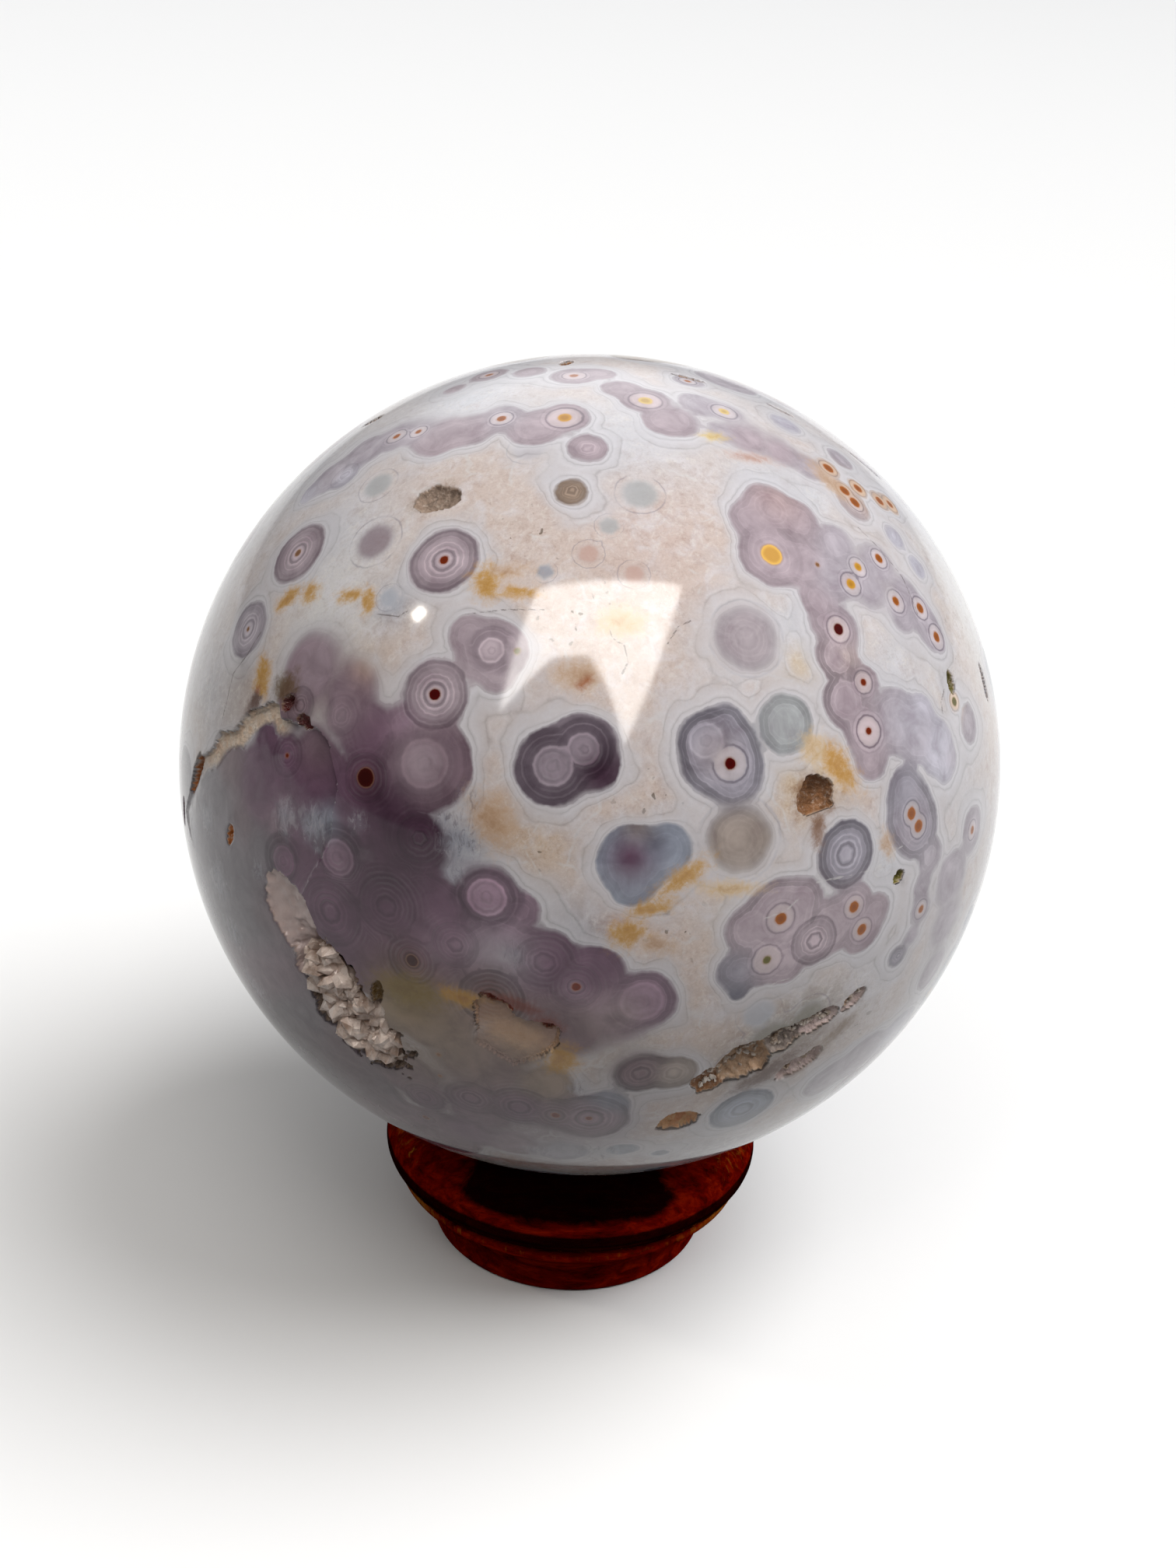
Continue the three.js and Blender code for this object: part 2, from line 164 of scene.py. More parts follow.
orbs = {
    # upper left
    "targetLeft": orb(571, 720, 48, 6, rings=1),
    "targetBelow": orb(559, 893, 47, 7.5, coreTone="red", rings=1),
    "limbTarget": orb(383, 711, 46, 5, coreTone="brown", rings=1),
    "limbTargetLow": orb(319, 809, 40, 3, "lilac", "brown"),
    "limbSpot": orb(443, 611, 24, 0, "lavender", rings=0.4),
    "pairTopLeft": orb(510, 561, 34, 5, "lilac", "amber", ring=15),
    "pairTopRight": orb(538, 555, 30, 4, "lilac", "amber", ring=13),
    "topBandCore": orb(645, 538, 32, 6, "lilac", "orange", ring=16),
    "topBandGlow": orb(726, 537, 34, 9, "mauve", "honey", ring=24),
    "crownCore": orb(629, 482, 26, 5, "mauve", "amber", ring=14),
    "crownCoreRight": orb(738, 483, 30, 5, "mauve", "amber", ring=16),
    "crownRightPale": orb(830, 515, 34, 9, "mauve", "paleYellow", ring=22),
    "crownFarPale": orb(931, 529, 26, 7, "lilac", "paleYellow", ring=18),
    "crownFarRight": orb(884, 490, 20, 4, "lilac", "amber", ring=12),
    "coffeeBean": orb(735, 631, 23, 0, "taupe", rings=0.7),
    "underBandRight": orb(756, 576, 28, 0, "mauve", rings=0.4),
    "besideGlare": orb(632, 836, 46, 0, "mauve", rings=0.7, ring=18),
    # centre
    "pairLeft": orb(711, 985, 50, 0, "pairGrey", rings=1, ring=27),
    "pairRight": orb(750, 963, 46, 0, "pairGrey", rings=1, ring=22),
    "lobedRed": orb(939, 982, 44, 7.5, "greyLilac", "red", rings=0.9, ring=24),
    "lobedUpper": orb(908, 952, 38, 0, "greyLilac", rings=0.5, ring=24),
    "greyMoon": orb(960, 820, 43, 0, "fogMauve", rings=0.15),
    "palestMoon": orb(951, 1080, 45, 0, "warmGrey", rings=0.1),
    "blueEye": orb(816, 1106, 50, 0, "blueGrey", rings=0),
    # right long body
    "longTop": orb(1078, 809, 34, 7.5, "mauve", "red", rings=0.7, ring=19),
    "longPale": orb(1086, 845, 13, 0, "bone", rings=0.2),
    "longMiddle": orb(1110, 877, 26, 4.5, "mauve", "rust", rings=0.7, ring=16),
    "longLow": orb(1117, 940, 42, 5, "mauve", "rust", rings=1, ring=21),
    # right upper group
    "mauveHead": orb(992, 655, 42, 0, "mauve", rings=0.15),
    "yolk": orb(992, 713, 48, 15, "mauve", "yolk", rings=0.3),
    "haloDiamond": orb(1130, 718, 18, 6.5, "lilac", "amber", rings=0.9, ring=15),
    "haloEightUp": orb(1103, 729, 18, 6, "lilac", "honey", rings=0.9, ring=15),
    "haloEightLow": orb(1094, 751, 20, 7, "lilac", "honey", rings=0.9, ring=17),
    "haloMid": orb(1152, 773, 19, 6, "lilac", "amber", rings=0.9, ring=17),
    "haloRight": orb(1183, 782, 20, 7, "lilac", "amber", rings=0.9, ring=17),
    "haloRightLow": orb(1204, 819, 21, 7, "lilac", "amber", rings=0.9, ring=18),
    "clusterA": orb(1065, 602, 17, 8, "tan", "amber", ring=15),
    "clusterB": orb(1086, 631, 17, 8, "tan", "amber", ring=15),
    "clusterC": orb(1103, 628, 17, 7, "tan", "amber", ring=15),
    "clusterD": orb(1099, 646, 17, 8, "tan", "amber", ring=15),
    "clusterE": orb(1131, 644, 17, 7, "tan", "amber", ring=15),
    "clusterF": orb(1144, 648, 17, 6, "tan", "amber", ring=15),
    "greenRinged": orb(1227, 902, 15, 6, "bone", "moss", rings=0.9, ring=13),
    # lower right
    "doubleCoreUp": orb(1172, 1046, 47, 8, "greyLilac", "orange", ring=17),
    "doubleCoreLow": orb(1181, 1062, 44, 8, "greyLilac", "orange", ring=17),
    "limbSlim": orb(1250, 1067, 32, 5, "lilac", "orange", ring=14),
    "ringedGrey": orb(1088, 1098, 46, 0, "greyLilac", rings=1),
    "coreOne": orb(1004, 1181, 56, 8, "mauve", "orange", rings=0.6, ring=21),
    "coreTwo": orb(1098, 1166, 34, 7.5, "mauve", "orange", rings=0.5, ring=17),
    "coreThree": orb(1108, 1195, 34, 7.5, "mauve", "orange", rings=0.5, ring=17),
    "rosette": orb(1047, 1210, 36, 0, "mauve", rings=1),
    "greenCore": orb(986, 1234, 36, 5.5, "mauve", "moss", rings=0.6, ring=22),
    "hookCore": orb(1184, 1169, 20, 5, "lilac", "orange", rings=0.6, ring=14),
    "hookBead": orb(1154, 1229, 17, 0, "greyLilac", rings=0.6),
    "splitOrb": orb(824, 1380, 38, 0, "dusk", rings=0.7),
    "ghostA": orb(540, 1078, 34, 0, "deepPlum", rings=0.5),
    "ghostB": orb(497, 1165, 44, 0, "plum", rings=0.5),
    "ghostC": orb(585, 1215, 34, 0, "plum", rings=0.5),
    "ghostD": orb(700, 1238, 40, 0, "plum", rings=0.5),
    "ghostE": orb(424, 1172, 50, 0, "plum", rings=0.7),
    "footA": orb(545, 1410, 30, 0, "plum", rings=0.5),
    "footB": orb(606, 1412, 38, 0, "plum", rings=0.6),
    "footC": orb(668, 1424, 44, 0, "plum", rings=0.7),
    "pitRing": orb(386, 907, 26, 0, "dusk"),
    "splitPale": orb(866, 1380, 32, 0, "warmGrey", rings=0.4),
    "lowEllipse": orb(954, 1426, 46, 0, "blueGrey"),
    # lower left and bottom
    "redHeart": orb(470, 1000, 34, 12, "plum", "oxblood", rings=0.5),
    "wideMoon": orb(545, 982, 66, 0, "dimMauve", rings=0.4, ring=34),
    "ringedLow": orb(434, 1103, 47, 0, "palePlum", rings=1, ring=26),
    "ringedLowLeft": orb(362, 1107, 38, 0, "plum", rings=0.9, ring=21),
    "tearDrop": orb(626, 1154, 45, 0, "palePlum", rings=1, ring=27),
    "redSpot": orb(530, 1235, 36, 8, "plum", "oxblood", rings=0.7),
    "patchArcs": orb(632, 1284, 46, 0, "umber", rings=1),
    "coreCentreLow": orb(741, 1269, 34, 5.5, "palePlum", "rust", rings=0.5),
    "bigLow": orb(826, 1288, 46, 0, "palePlum", rings=0.4, ring=30),
    "shelfRing": orb(439, 920, 28, 0, "mauve", rings=0.3),
    "footDotLeft": orb(548, 1437, 14, 4, "dusk", "rust", rings=0.3),
    "footDotMid": orb(714, 1434, 40, 5, "dusk", "rust", rings=0.5),
    "footDotRight": orb(757, 1438, 54, 4, "dimMauve", "rust", rings=1),
    "specLeft": orb(362, 971, 30, 3, "plum", "rust", rings=0.4),
    "specUpper": orb(1051, 726, 10, 3, "mauve", "brown", rings=0.1),
    "specOlive": orb(665, 837, 12, 4, "mauve", "moss", rings=0.1),
    "specLowA": orb(564, 1356, 12, 2.5, "dusk", "brown", rings=0.1),
    "specLowB": orb(566, 1383, 10, 2, "dusk", "brown", rings=0.1),
}

# Bodies that carry the orbs, as chains: photograph pixel, pixel radius and tone
bodies = {
    "shoulder": [
        (400, 632, 20, "lavender"), (425, 612, 32, "lilac"), (470, 580, 36, "lilac"),
        (566, 560, 42, "mauve"), (606, 552, 38, "mauve"),
    ],
    "crown": [
        (585, 500, 16, "mauve"), (680, 478, 22, "mauve"), (770, 480, 22, "mauve"),
        (800, 500, 26, "mauve"), (862, 540, 38, "mauve"), (900, 520, 30, "lilac"),
        (960, 562, 34, "mauve"), (1004, 580, 30, "mauve"), (1040, 600, 26, "lilac"),
        (1080, 590, 22, "lilac"), (1010, 545, 22, "lavender"), (930, 555, 22, "lilac"),
    ],
    "band": [(688, 548, 40, "mauve")],
    "cluster": [(1098, 650, 26, "lilac")],
    "head": [(970, 668, 34, "mauve"), (1024, 668, 36, "mauve"), (1030, 720, 40, "mauve")],
    "neck": [
        (1075, 700, 32, "lilac"), (1128, 728, 34, "lilac"), (1166, 768, 32, "lilac"),
        (1190, 802, 30, "lilac"), (1052, 772, 28, "mauve"), (1070, 740, 38, "lilac"),
        (1118, 752, 34, "lilac"),
    ],
    "far": [
        (1160, 790, 26, "lilac"), (1196, 810, 26, "lilac"), (1150, 690, 18, "lavender"),
        (1180, 730, 16, "lavender"),
    ],
    "long": [
        (1058, 800, 22, "mauve"), (1078, 846, 34, "mauve"), (1088, 900, 38, "mauve"),
        (1152, 926, 44, "lilac"), (1180, 940, 44, "lilac"), (1186, 915, 24, "lavender"),
        (1205, 960, 40, "lavender"), (1214, 985, 22, "lavender"), (1120, 978, 26, "mauve"),
    ],
    "farLobe": [(1246, 930, 26, "lilac"), (1222, 975, 16, "lilac")],
    "double": [(1176, 1058, 40, "mauve"), (1196, 1100, 26, "lilac"), (1165, 1022, 38, "greyLilac")],
    "rightEdge": [
        (1224, 1130, 40, "lilac"), (1216, 1186, 36, "lilac"), (1198, 1246, 32, "lilac"),
        (1192, 1290, 18, "lilac"),
    ],
    "hook": [(1172, 1203, 14, "lilac"), (1186, 1140, 18, "lilac")],
    "group": [
        (962, 1196, 34, "mauve"), (950, 1248, 32, "greyLilac"), (1030, 1160, 34, "mauve"),
        (1070, 1190, 40, "mauve"), (1125, 1170, 26, "mauve"), (1010, 1235, 34, "mauve"),
        (948, 1275, 14, "slate"),
    ],
    "lowLean": [(1066, 1386, 40, "lilac"), (1106, 1358, 46, "lilac"), (1148, 1328, 42, "lavender")],
    "tear": [(670, 1172, 26, "palePlum")],
    "rim": [
        (238, 1000, 40, "smoke"), (234, 1090, 40, "smoke"), (248, 1180, 44, "smoke"),
        (282, 1270, 50, "smoke"), (334, 1350, 50, "smoke"), (400, 1425, 40, "dusk"),
        (330, 1090, 44, "smoke"), (280, 1075, 90, "smoke"), (295, 1180, 140, "smoke"),
        (325, 1250, 140, "dimMauve"), (372, 1318, 140, "smoke"), (425, 1378, 130, "smoke"),
        (480, 1425, 110, "dimMauve"), (545, 1452, 80, "dimMauve"),
    ],
    "besideHollow": [(502, 1302, 36, "taupe"), (360, 1260, 60, "dusk"), (430, 1340, 60, "dusk")],
    "lake": [
        (330, 1010, 60, "plum"), (300, 1060, 50, "dusk"), (400, 1000, 60, "plum"),
        (470, 1040, 70, "plum"), (515, 1095, 56, "deepPlum"), (548, 1090, 36, "deepPlum"),
        (400, 1120, 70, "plum"), (480, 1150, 60, "plum"), (540, 1180, 70, "plum"),
        (330, 1180, 60, "dusk"), (470, 1230, 60, "plum"), (560, 1240, 60, "plum"),
        (640, 1230, 60, "palePlum"), (690, 1240, 54, "plum"), (762, 1256, 46, "plum"),
        (790, 1300, 50, "palePlum"), (740, 1320, 50, "dusk"), (290, 1130, 50, "smoke"),
    ],
    "foot": [(600, 1455, 44, "plum"), (660, 1470, 40, "dimMauve"), (720, 1480, 36, "greyLilac")],
    "gap": [
        (420, 1060, 40, "blueGrey"), (350, 1050, 36, "dimMauve"), (470, 1185, 40, "plum"),
        (600, 1280, 50, "dusk"), (700, 1300, 40, "dusk"), (660, 1345, 44, "taupe"),
    ],
    "shelfFloor": [(290, 990, 40, "dusk"), (340, 950, 34, "plum"), (400, 960, 34, "palePlum")],
    "aboveShelf": [
        (400, 860, 50, "dimMauve"), (450, 890, 44, "dimMauve"), (470, 940, 44, "plum"),
        (380, 900, 34, "dusk"), (520, 930, 30, "palePlum"),
    ],
    "floor": [
        (560, 1310, 60, "dusk"), (620, 1370, 60, "dusk"), (520, 1380, 50, "dusk"),
        (620, 1430, 44, "dusk"), (560, 1440, 30, "dusk"), (780, 1420, 30, "blueGrey"),
        (700, 1395, 40, "taupe"),
    ],
    "footBlue": [(800, 1478, 20, "blueGrey"), (850, 1482, 12, "blueGrey")],
    "pair": [(730, 972, 44, "pairGrey"), (768, 986, 30, "deepPlum")],
    "eye": [(856, 1094, 36, "blueGrey"), (815, 1138, 30, "blueGrey")],
    "lobed": [(925, 968, 56, "greyLilac"), (932, 928, 24, "greyLilac"), (942, 1000, 38, "greyLilac")],
    "moon": [(1010, 930, 40, "fogGrey")],
    "glare": [(600, 815, 26, "mauve"), (640, 868, 24, "mauve")],
}

# Soft smoky discs with a fine outline: photograph pixel, pixel radius and tone
smokes = {
    "druzyLens": (990, 1335, 44, "mossGrey"), "druzyLensHigh": (1040, 1305, 34, "mossGrey"),
    "druzyLensLow": (950, 1368, 34, "mossGrey"), "smokyLeft": (482, 696, 40, "dimMauve"),
    "greyArcs": (486, 624, 30, "fogGrey"), "veiledBead": (823, 635, 34, "fogGrey"),
    "rosyCloud": (757, 712, 22, "rosy"), "greyMoonHalo": (960, 820, 53, "iceBlue"),
    "veil": (1008, 931, 44, "fogGrey"), "palestHalo": (951, 1080, 58, "bone"),
    "paleLens": (976, 1303, 34, "iceBlue"), "greyPool": (500, 768, 20, "iceBlue"),
    "halfDisc": (815, 738, 22, "rosy"), "greyBead": (701, 735, 17, "blueGrey"),
    "underBandLeft": (680, 577, 30, "fogMauve"), "paleSpot": (783, 676, 20, "fogGrey"),
}

# Washes over the matrix: photograph pixel, pixel radius, tone and strength
washes = {
    "farLeftTop": (320, 560, 170, "blueWhite", 1.0), "farTop": (600, 450, 150, "blueWhite", 1.0),
    "farTopMid": (980, 460, 150, "blueWhite", 1.0), "farRightTop": (1210, 620, 150, "blueWhite", 1.0),
    "farRight": (1290, 820, 90, "white", 0.9), "farRightLow": (1290, 1100, 120, "iceBlue", 0.8),
    "farLowRight": (1180, 1380, 150, "blueWhite", 0.9), "farLow": (940, 1490, 110, "iceBlue", 0.7),
    "farLeft": (215, 840, 130, "blueWhite", 1.0), "topWhite": (800, 560, 120, "blueWhite", 0.9),
    "topLeftBlue": (600, 512, 90, "blueWhite", 1.0), "leftEdge": (300, 720, 110, "blueWhite", 0.9),
    # leftBottom, bottomLeft and bottomMid: the stone's own darker tones, with painted shade at the lower left
    # and the bottom
    "leftLow": (270, 900, 90, "iceBlue", 0.7), "leftBottom": (270, 1150, 120, "smoke", 0.9),
    "bottomLeft": (450, 1380, 130, "dusk", 0.8), "bottomMid": (690, 1470, 110, "dimMauve", 0.7),
    "bottomRight": (900, 1480, 90, "iceBlue", 0.6), "rightSide": (1240, 1000, 90, "blueWhite", 0.6),
    "rightHigh": (1230, 760, 90, "white", 0.8), "rightLow": (1200, 1300, 110, "blueWhite", 0.7),
    "paleHollow": (440, 690, 100, "blueWhite", 0.8), "farTopRight": (1180, 640, 80, "iceBlue", 0.8),
    "topEdge": (900, 468, 80, "blueWhite", 0.9), "topEdgeLeft": (620, 468, 80, "lavender", 0.6),
    "shoulderLeft": (400, 600, 60, "iceBlue", 0.8), "edgeLeftHigh": (300, 640, 80, "iceBlue", 0.8),
    "edgeLeft": (258, 770, 80, "blueWhite", 0.8), "edgeRight": (1262, 850, 60, "white", 0.5),
    "shelfGoldStone": (474, 850, 30, "tan", 0.6), "yellowChannel": (1032, 850, 40, "paleYellow", 0.35),
    "yellowCorner": (1040, 1000, 60, "paleYellow", 0.35), "yellowLow": (960, 1180, 50, "warmCream", 0.5),
    "creamTop": (620, 630, 80, "cream", 0.5), "pinkMiddle": (840, 690, 90, "pinkCream", 0.5),
    "pinkLeft": (420, 800, 90, "white", 0.8), "bluePool": (505, 775, 34, "iceBlue", 0.9),
    "whiteZone": (985, 620, 60, "blueWhite", 0.9), "whiteZoneLow": (1045, 640, 40, "blueWhite", 0.9),
    "greenWhite": (1020, 800, 40, "blueWhite", 0.9), "rightChannel": (1150, 850, 60, "blueWhite", 0.8),
    "lowChannel": (1140, 1110, 50, "blueWhite", 0.9), "lowRightPale": (1110, 1270, 90, "blueWhite", 0.7),
    "creamCentre": (870, 1010, 80, "cream", 0.4), "orangePatch": (640, 1060, 46, "tan", 0.9),
    "creamPatch": (700, 1085, 44, "bone", 0.7), "creamLow": (860, 1200, 60, "cream", 0.5),
    "pinkLow": (800, 1180, 50, "pinkCream", 0.5), "duskCentre": (740, 1200, 46, "greyLilac", 0.8),
    "bandBlue": (600, 1090, 34, "iceBlue", 0.8), "bandBlueLow": (430, 1060, 26, "iceBlue", 0.8),
    "druzyGrey": (1030, 1330, 70, "warmGrey", 0.8), "druzyDark": (1030, 1305, 36, "mossGrey", 0.7),
    "druzyDarkLow": (955, 1370, 50, "mossGrey", 0.8), "rightMatrix": (1215, 870, 44, "white", 0.6),
    "bottomTan": (640, 1340, 60, "taupe", 0.5), "olive": (520, 1290, 40, "olive", 0.3),
    "leftWarm": (250, 950, 50, "bone", 0.4),
}

# Iron stains: photograph pixel, half length, half width and turn in pixels and degrees, tone
stains = {
    "leftA": (370, 770, 27, 14, 20, "ochre"), "leftB": (398, 762, 19, 19, 0, "ochre"),
    "leftC": (452, 765, 30, 11, -5, "ochre"), "leftD": (474, 773, 12, 23, 0, "ochre"),
    "shelfA": (337, 872, 18, 35, 0, "ochre"), "shelfRed": (334, 884, 7, 19, 0, "amber"),
    "shelfOlive": (367, 884, 27, 24, 0, "olive"), "besideTarget": (625, 748, 22, 30, 10, "ochre"),
    "besideTargetB": (665, 762, 35, 11, -5, "ochre"), "besideTargetC": (655, 735, 35, 11, 0, "tan"),
    "oliveLow": (526, 1272, 58, 24, 0, "oliveGold"), "patchOchre": (722, 1362, 27, 30, 30, "ochre"),
    "centreStrong": (806, 1201, 27, 24, 10, "ochre"), "centreTrail": (840, 1215, 32, 16, -20, "tan"),
    "bandLeft": (880, 1128, 46, 16, 35, "ochre"), "bandRight": (940, 1142, 59, 12, -5, "warmCream"),
    "corner": (1078, 985, 46, 22, -40, "honey"), "cornerLow": (1046, 962, 24, 24, 0, "warmCream"),
    "topYellow": (918, 561, 24, 11, 25, "paleYellow"), "topTan": (965, 588, 40, 12, 15, "rosy"),
    "clusterStain": (1066, 618, 40, 20, -50, "tan"), "orangeGlow": (630, 1055, 30, 46, 30, "tan"),
    "redTop": (660, 1290, 46, 11, -20, "rust"), "redEnd": (705, 1318, 22, 14, -20, "rust"),
    "underGlare": (750, 876, 17, 12, 0, "amber"), "underGlareTan": (745, 868, 34, 22, 0, "tan"),
    "vugHaze": (1045, 1024, 38, 34, 0, "brown"), "vugTail": (1052, 1066, 14, 30, 0, "brown"),
    "wedgeHaze": (556, 640, 36, 20, 20, "taupe"), "patchFloor": (664, 1334, 52, 22, -22, "tan"),
    "lowOlive": (590, 1282, 46, 14, -10, "ochre"), "eyeOchre": (836, 1168, 40, 12, 10, "ochre"),
    "channelRust": (1140, 1085, 12, 26, 20, "tan"), "pitGlow": (373, 900, 20, 16, -30, "oxblood"),
    "belowShelf": (326, 905, 34, 14, 30, "umber"), "druzyBrown": (985, 1380, 62, 20, 35, "umber"),
    "druzyGreen": (1015, 1330, 66, 24, 35, "mossGrey"), "druzySpecks": (1078, 1325, 40, 18, 35, "taupe"),
    "paleGold": (800, 800, 32, 24, 0, "warmCream"),
}

# Tints within the bodies: photograph pixel, pixel radius, tone and strength
tints = {
    "purpleHeart": (507, 1085, 60, "deepPlum", 0.95), "purpleRight": (548, 1078, 30, "deepPlum", 0.9),
    "purpleUpper": (495, 1030, 40, "deepPlum", 0.8), "purpleLow": (477, 1140, 50, "deepPlum", 0.7),
    "purpleSide": (600, 1200, 40, "plum", 0.8), "brownFloor": (570, 1340, 90, "taupe", 0.9),
    "oliveFloor": (525, 1280, 50, "oliveGold", 0.7), "warmTop": (420, 850, 70, "mauve", 0.6),
    "leftSmoke": (270, 1110, 90, "smoke", 0.85), "paleMiddle": (640, 1235, 44, "lilac", 0.75),
    "paleLeft": (560, 1215, 34, "palePlum", 0.6), "floorGrey": (450, 1370, 70, "dusk", 0.7),
    "bottomPlum": (600, 1425, 60, "plum", 0.5), "moonPale": (540, 980, 34, "mauve", 0.6),
    "lowRightPale": (790, 1310, 40, "warmGrey", 0.5), "aboveShelf": (450, 900, 60, "dimMauve", 0.7),
    "longBlue": (1175, 930, 40, "lavender", 0.6), "neckBlue": (1110, 760, 50, "lilac", 0.6),
    "eyeHeart": (811, 1103, 30, "plum", 1.0), "eyeSpot": (843, 1084, 15, "slate", 0.9),
    "eyeTop": (820, 1060, 20, "taupe", 0.6), "mauveHeadWarm": (1000, 640, 40, "rosy", 0.3),
    "pairDark": (772, 995, 26, "deepPlum", 0.9), "lobedHeart": (922, 968, 30, "fogMauve", 0.7),
    "shelfDark": (330, 1000, 40, "plum", 0.8), "patchBrown": (630, 1262, 30, "oxblood", 0.75),
    "shelfWarm": (400, 960, 34, "dusk", 0.6), "shelfGold": (474, 850, 26, "tan", 0.5),
    "redSpotHeart": (528, 1232, 24, "oxblood", 0.6), "redHeartShade": (470, 1000, 22, "oxblood", 0.5),
    "leftWarmth": (280, 1240, 40, "shell", 0.5),
}

# Where the edges of bodies are blurred: photograph pixel and pixel radius
hazes = {
    "aboveShelf": (430, 850, 90), "leftSide": (260, 1080, 60), "lowLeft": (420, 1380, 60),
    "floor": (620, 1370, 70), "middle": (620, 1240, 40), "bandBlue": (600, 1085, 40),
    "bottom": (700, 1460, 50), "topLeft": (560, 530, 60), "topRight": (980, 560, 70),
    "rightEdge": (1220, 1180, 70), "purple": (470, 1080, 60), "neck": (1130, 740, 60),
    "greyMoon": (960, 820, 50), "palestMoon": (951, 1080, 46), "lowMiddle": (780, 1340, 60),
    "shelf": (340, 990, 40), "leftLow": (300, 1230, 70), "leftRim": (250, 1150, 60),
    "leftFoot": (380, 1370, 70),
}

# Where bodies have strong contour bands along their edge: photograph pixel, pixel radius and strength
bandings = {
    "lobed": (925, 968, 66, 1.0), "longEdge": (1060, 880, 60, 0.7), "head": (985, 680, 60, 0.1),
    "ringedGrey": (1088, 1096, 44, 0.8), "doubleCore": (1176, 1056, 50, 0.8),
    "group": (1000, 1180, 60, 0.7), "tearDrop": (626, 1154, 50, 0.4), "splitOrb": (817, 1381, 40, 0.6),
    "lowEllipse": (954, 1421, 40, 0.6), "footRing": (759, 1442, 40, 0.7), "bigLow": (826, 1288, 50, 0.5),
    "upperLeft": (571, 720, 60, 0.3),
}

# Painted shade over the smoky matrix and halos at the lower left, the bottom and by the hollows: photograph
# pixel, pixel radius, tone and strength
shades = {
    "leftRim": (262, 1120, 80, "smoke", 0.85), "leftRimLow": (320, 1290, 90, "smoke", 0.85),
    "besideShelf": (400, 1060, 90, "blueGrey", 0.8), "lakeMiddle": (560, 1120, 80, "blueGrey", 0.6),
    "vugSide": (410, 1240, 80, "dusk", 0.85), "lowFloor": (540, 1370, 110, "taupe", 0.8),
    "bottom": (620, 1450, 90, "dusk", 0.8), "bottomMid": (760, 1450, 70, "dimMauve", 0.6),
    "splitSide": (800, 1360, 60, "warmGrey", 0.5), "druzySide": (1000, 1350, 70, "warmGrey", 0.6),
    "aboveShelf": (420, 880, 60, "taupe", 0.6), "shelfTop": (300, 900, 50, "warmGrey", 0.5),
}

# Milky blue veins that lie over the bodies: photograph pixel, pixel radius and strength
milks = {
    "besideRings": (398, 1062, 26, 0.7), "aboveRings": (362, 1050, 24, 0.6),
    "ringGap": (404, 1088, 10, 0.6), "rightOfRings": (458, 1056, 18, 0.4),
    "edgeBlue": (590, 1082, 26, 0.7), "edgeBlueTop": (572, 1056, 16, 0.5),
    "middle": (660, 1230, 26, 0.35), "teardropTop": (590, 1124, 14, 0.4), "leftRim": (246, 1060, 30, 0.4),
    "splitLeft": (742, 1400, 20, 0.4), "underMoon": (600, 1030, 20, 0.4), "rimLow": (330, 1330, 30, 0.35),
    "bottom": (770, 1482, 30, 0.5), "limbA": (262, 1050, 30, 0.5), "limbB": (280, 1130, 34, 0.5),
    "limbC": (300, 1200, 30, 0.5), "limbD": (330, 1270, 30, 0.45), "limbE": (384, 1350, 34, 0.45),
    "limbWideA": (262, 1150, 60, 0.34), "limbWideB": (300, 1260, 80, 0.34),
    "limbWideC": (370, 1370, 80, 0.3), "limbF": (330, 1120, 16, 0.45), "footLeft": (500, 1452, 26, 0.4),
    "footRight": (690, 1480, 24, 0.45),
}

# Grainy matrix with dark specks: photograph pixel and pixel radius
grains = {
    "centreRight": (850, 1030, 60), "centre": (740, 790, 60), "glareEdge": (870, 800, 34),
    "lowCentre": (870, 1200, 44), "patch": (710, 1090, 40), "bottomRight": (1085, 1320, 50),
    "farSpecks": (1228, 800, 30), "nearVug": (1230, 860, 30), "upper": (680, 690, 60),
}

# Fine lines: photograph pixels along each
darkLines = {
    "shelfCrack": [(336, 812), (318, 842), (300, 866), (292, 900), (286, 925)],
    "poolRim": [(484, 789), (499, 791), (512, 793), (524, 785)],
    "diagonal": [(1103, 678), (1130, 705), (1160, 742), (1180, 790)],
    "glareCrackA": [(760, 762), (789, 822), (803, 830), (808, 850), (800, 866)],
    "glareCrackB": [(858, 828), (872, 806), (888, 798)],
    "crescent": [(1212, 918), (1210, 902), (1214, 886)],
    "foldTop": [(596, 790), (650, 784), (700, 784)],
}
paleLines = {
    "healedA": [
        (983, 1181), (1011, 1171), (1047, 1135), (1080, 1128), (1126, 1117), (1154, 1092), (1176, 1078),
    ],
    "healedB": [(927, 1290), (960, 1284), (1000, 1262), (1040, 1250)],
    "patchCrackA": [(693, 1058), (674, 1092), (696, 1126)],
    "patchCrackB": [(674, 1092), (700, 1080), (712, 1060)],
}

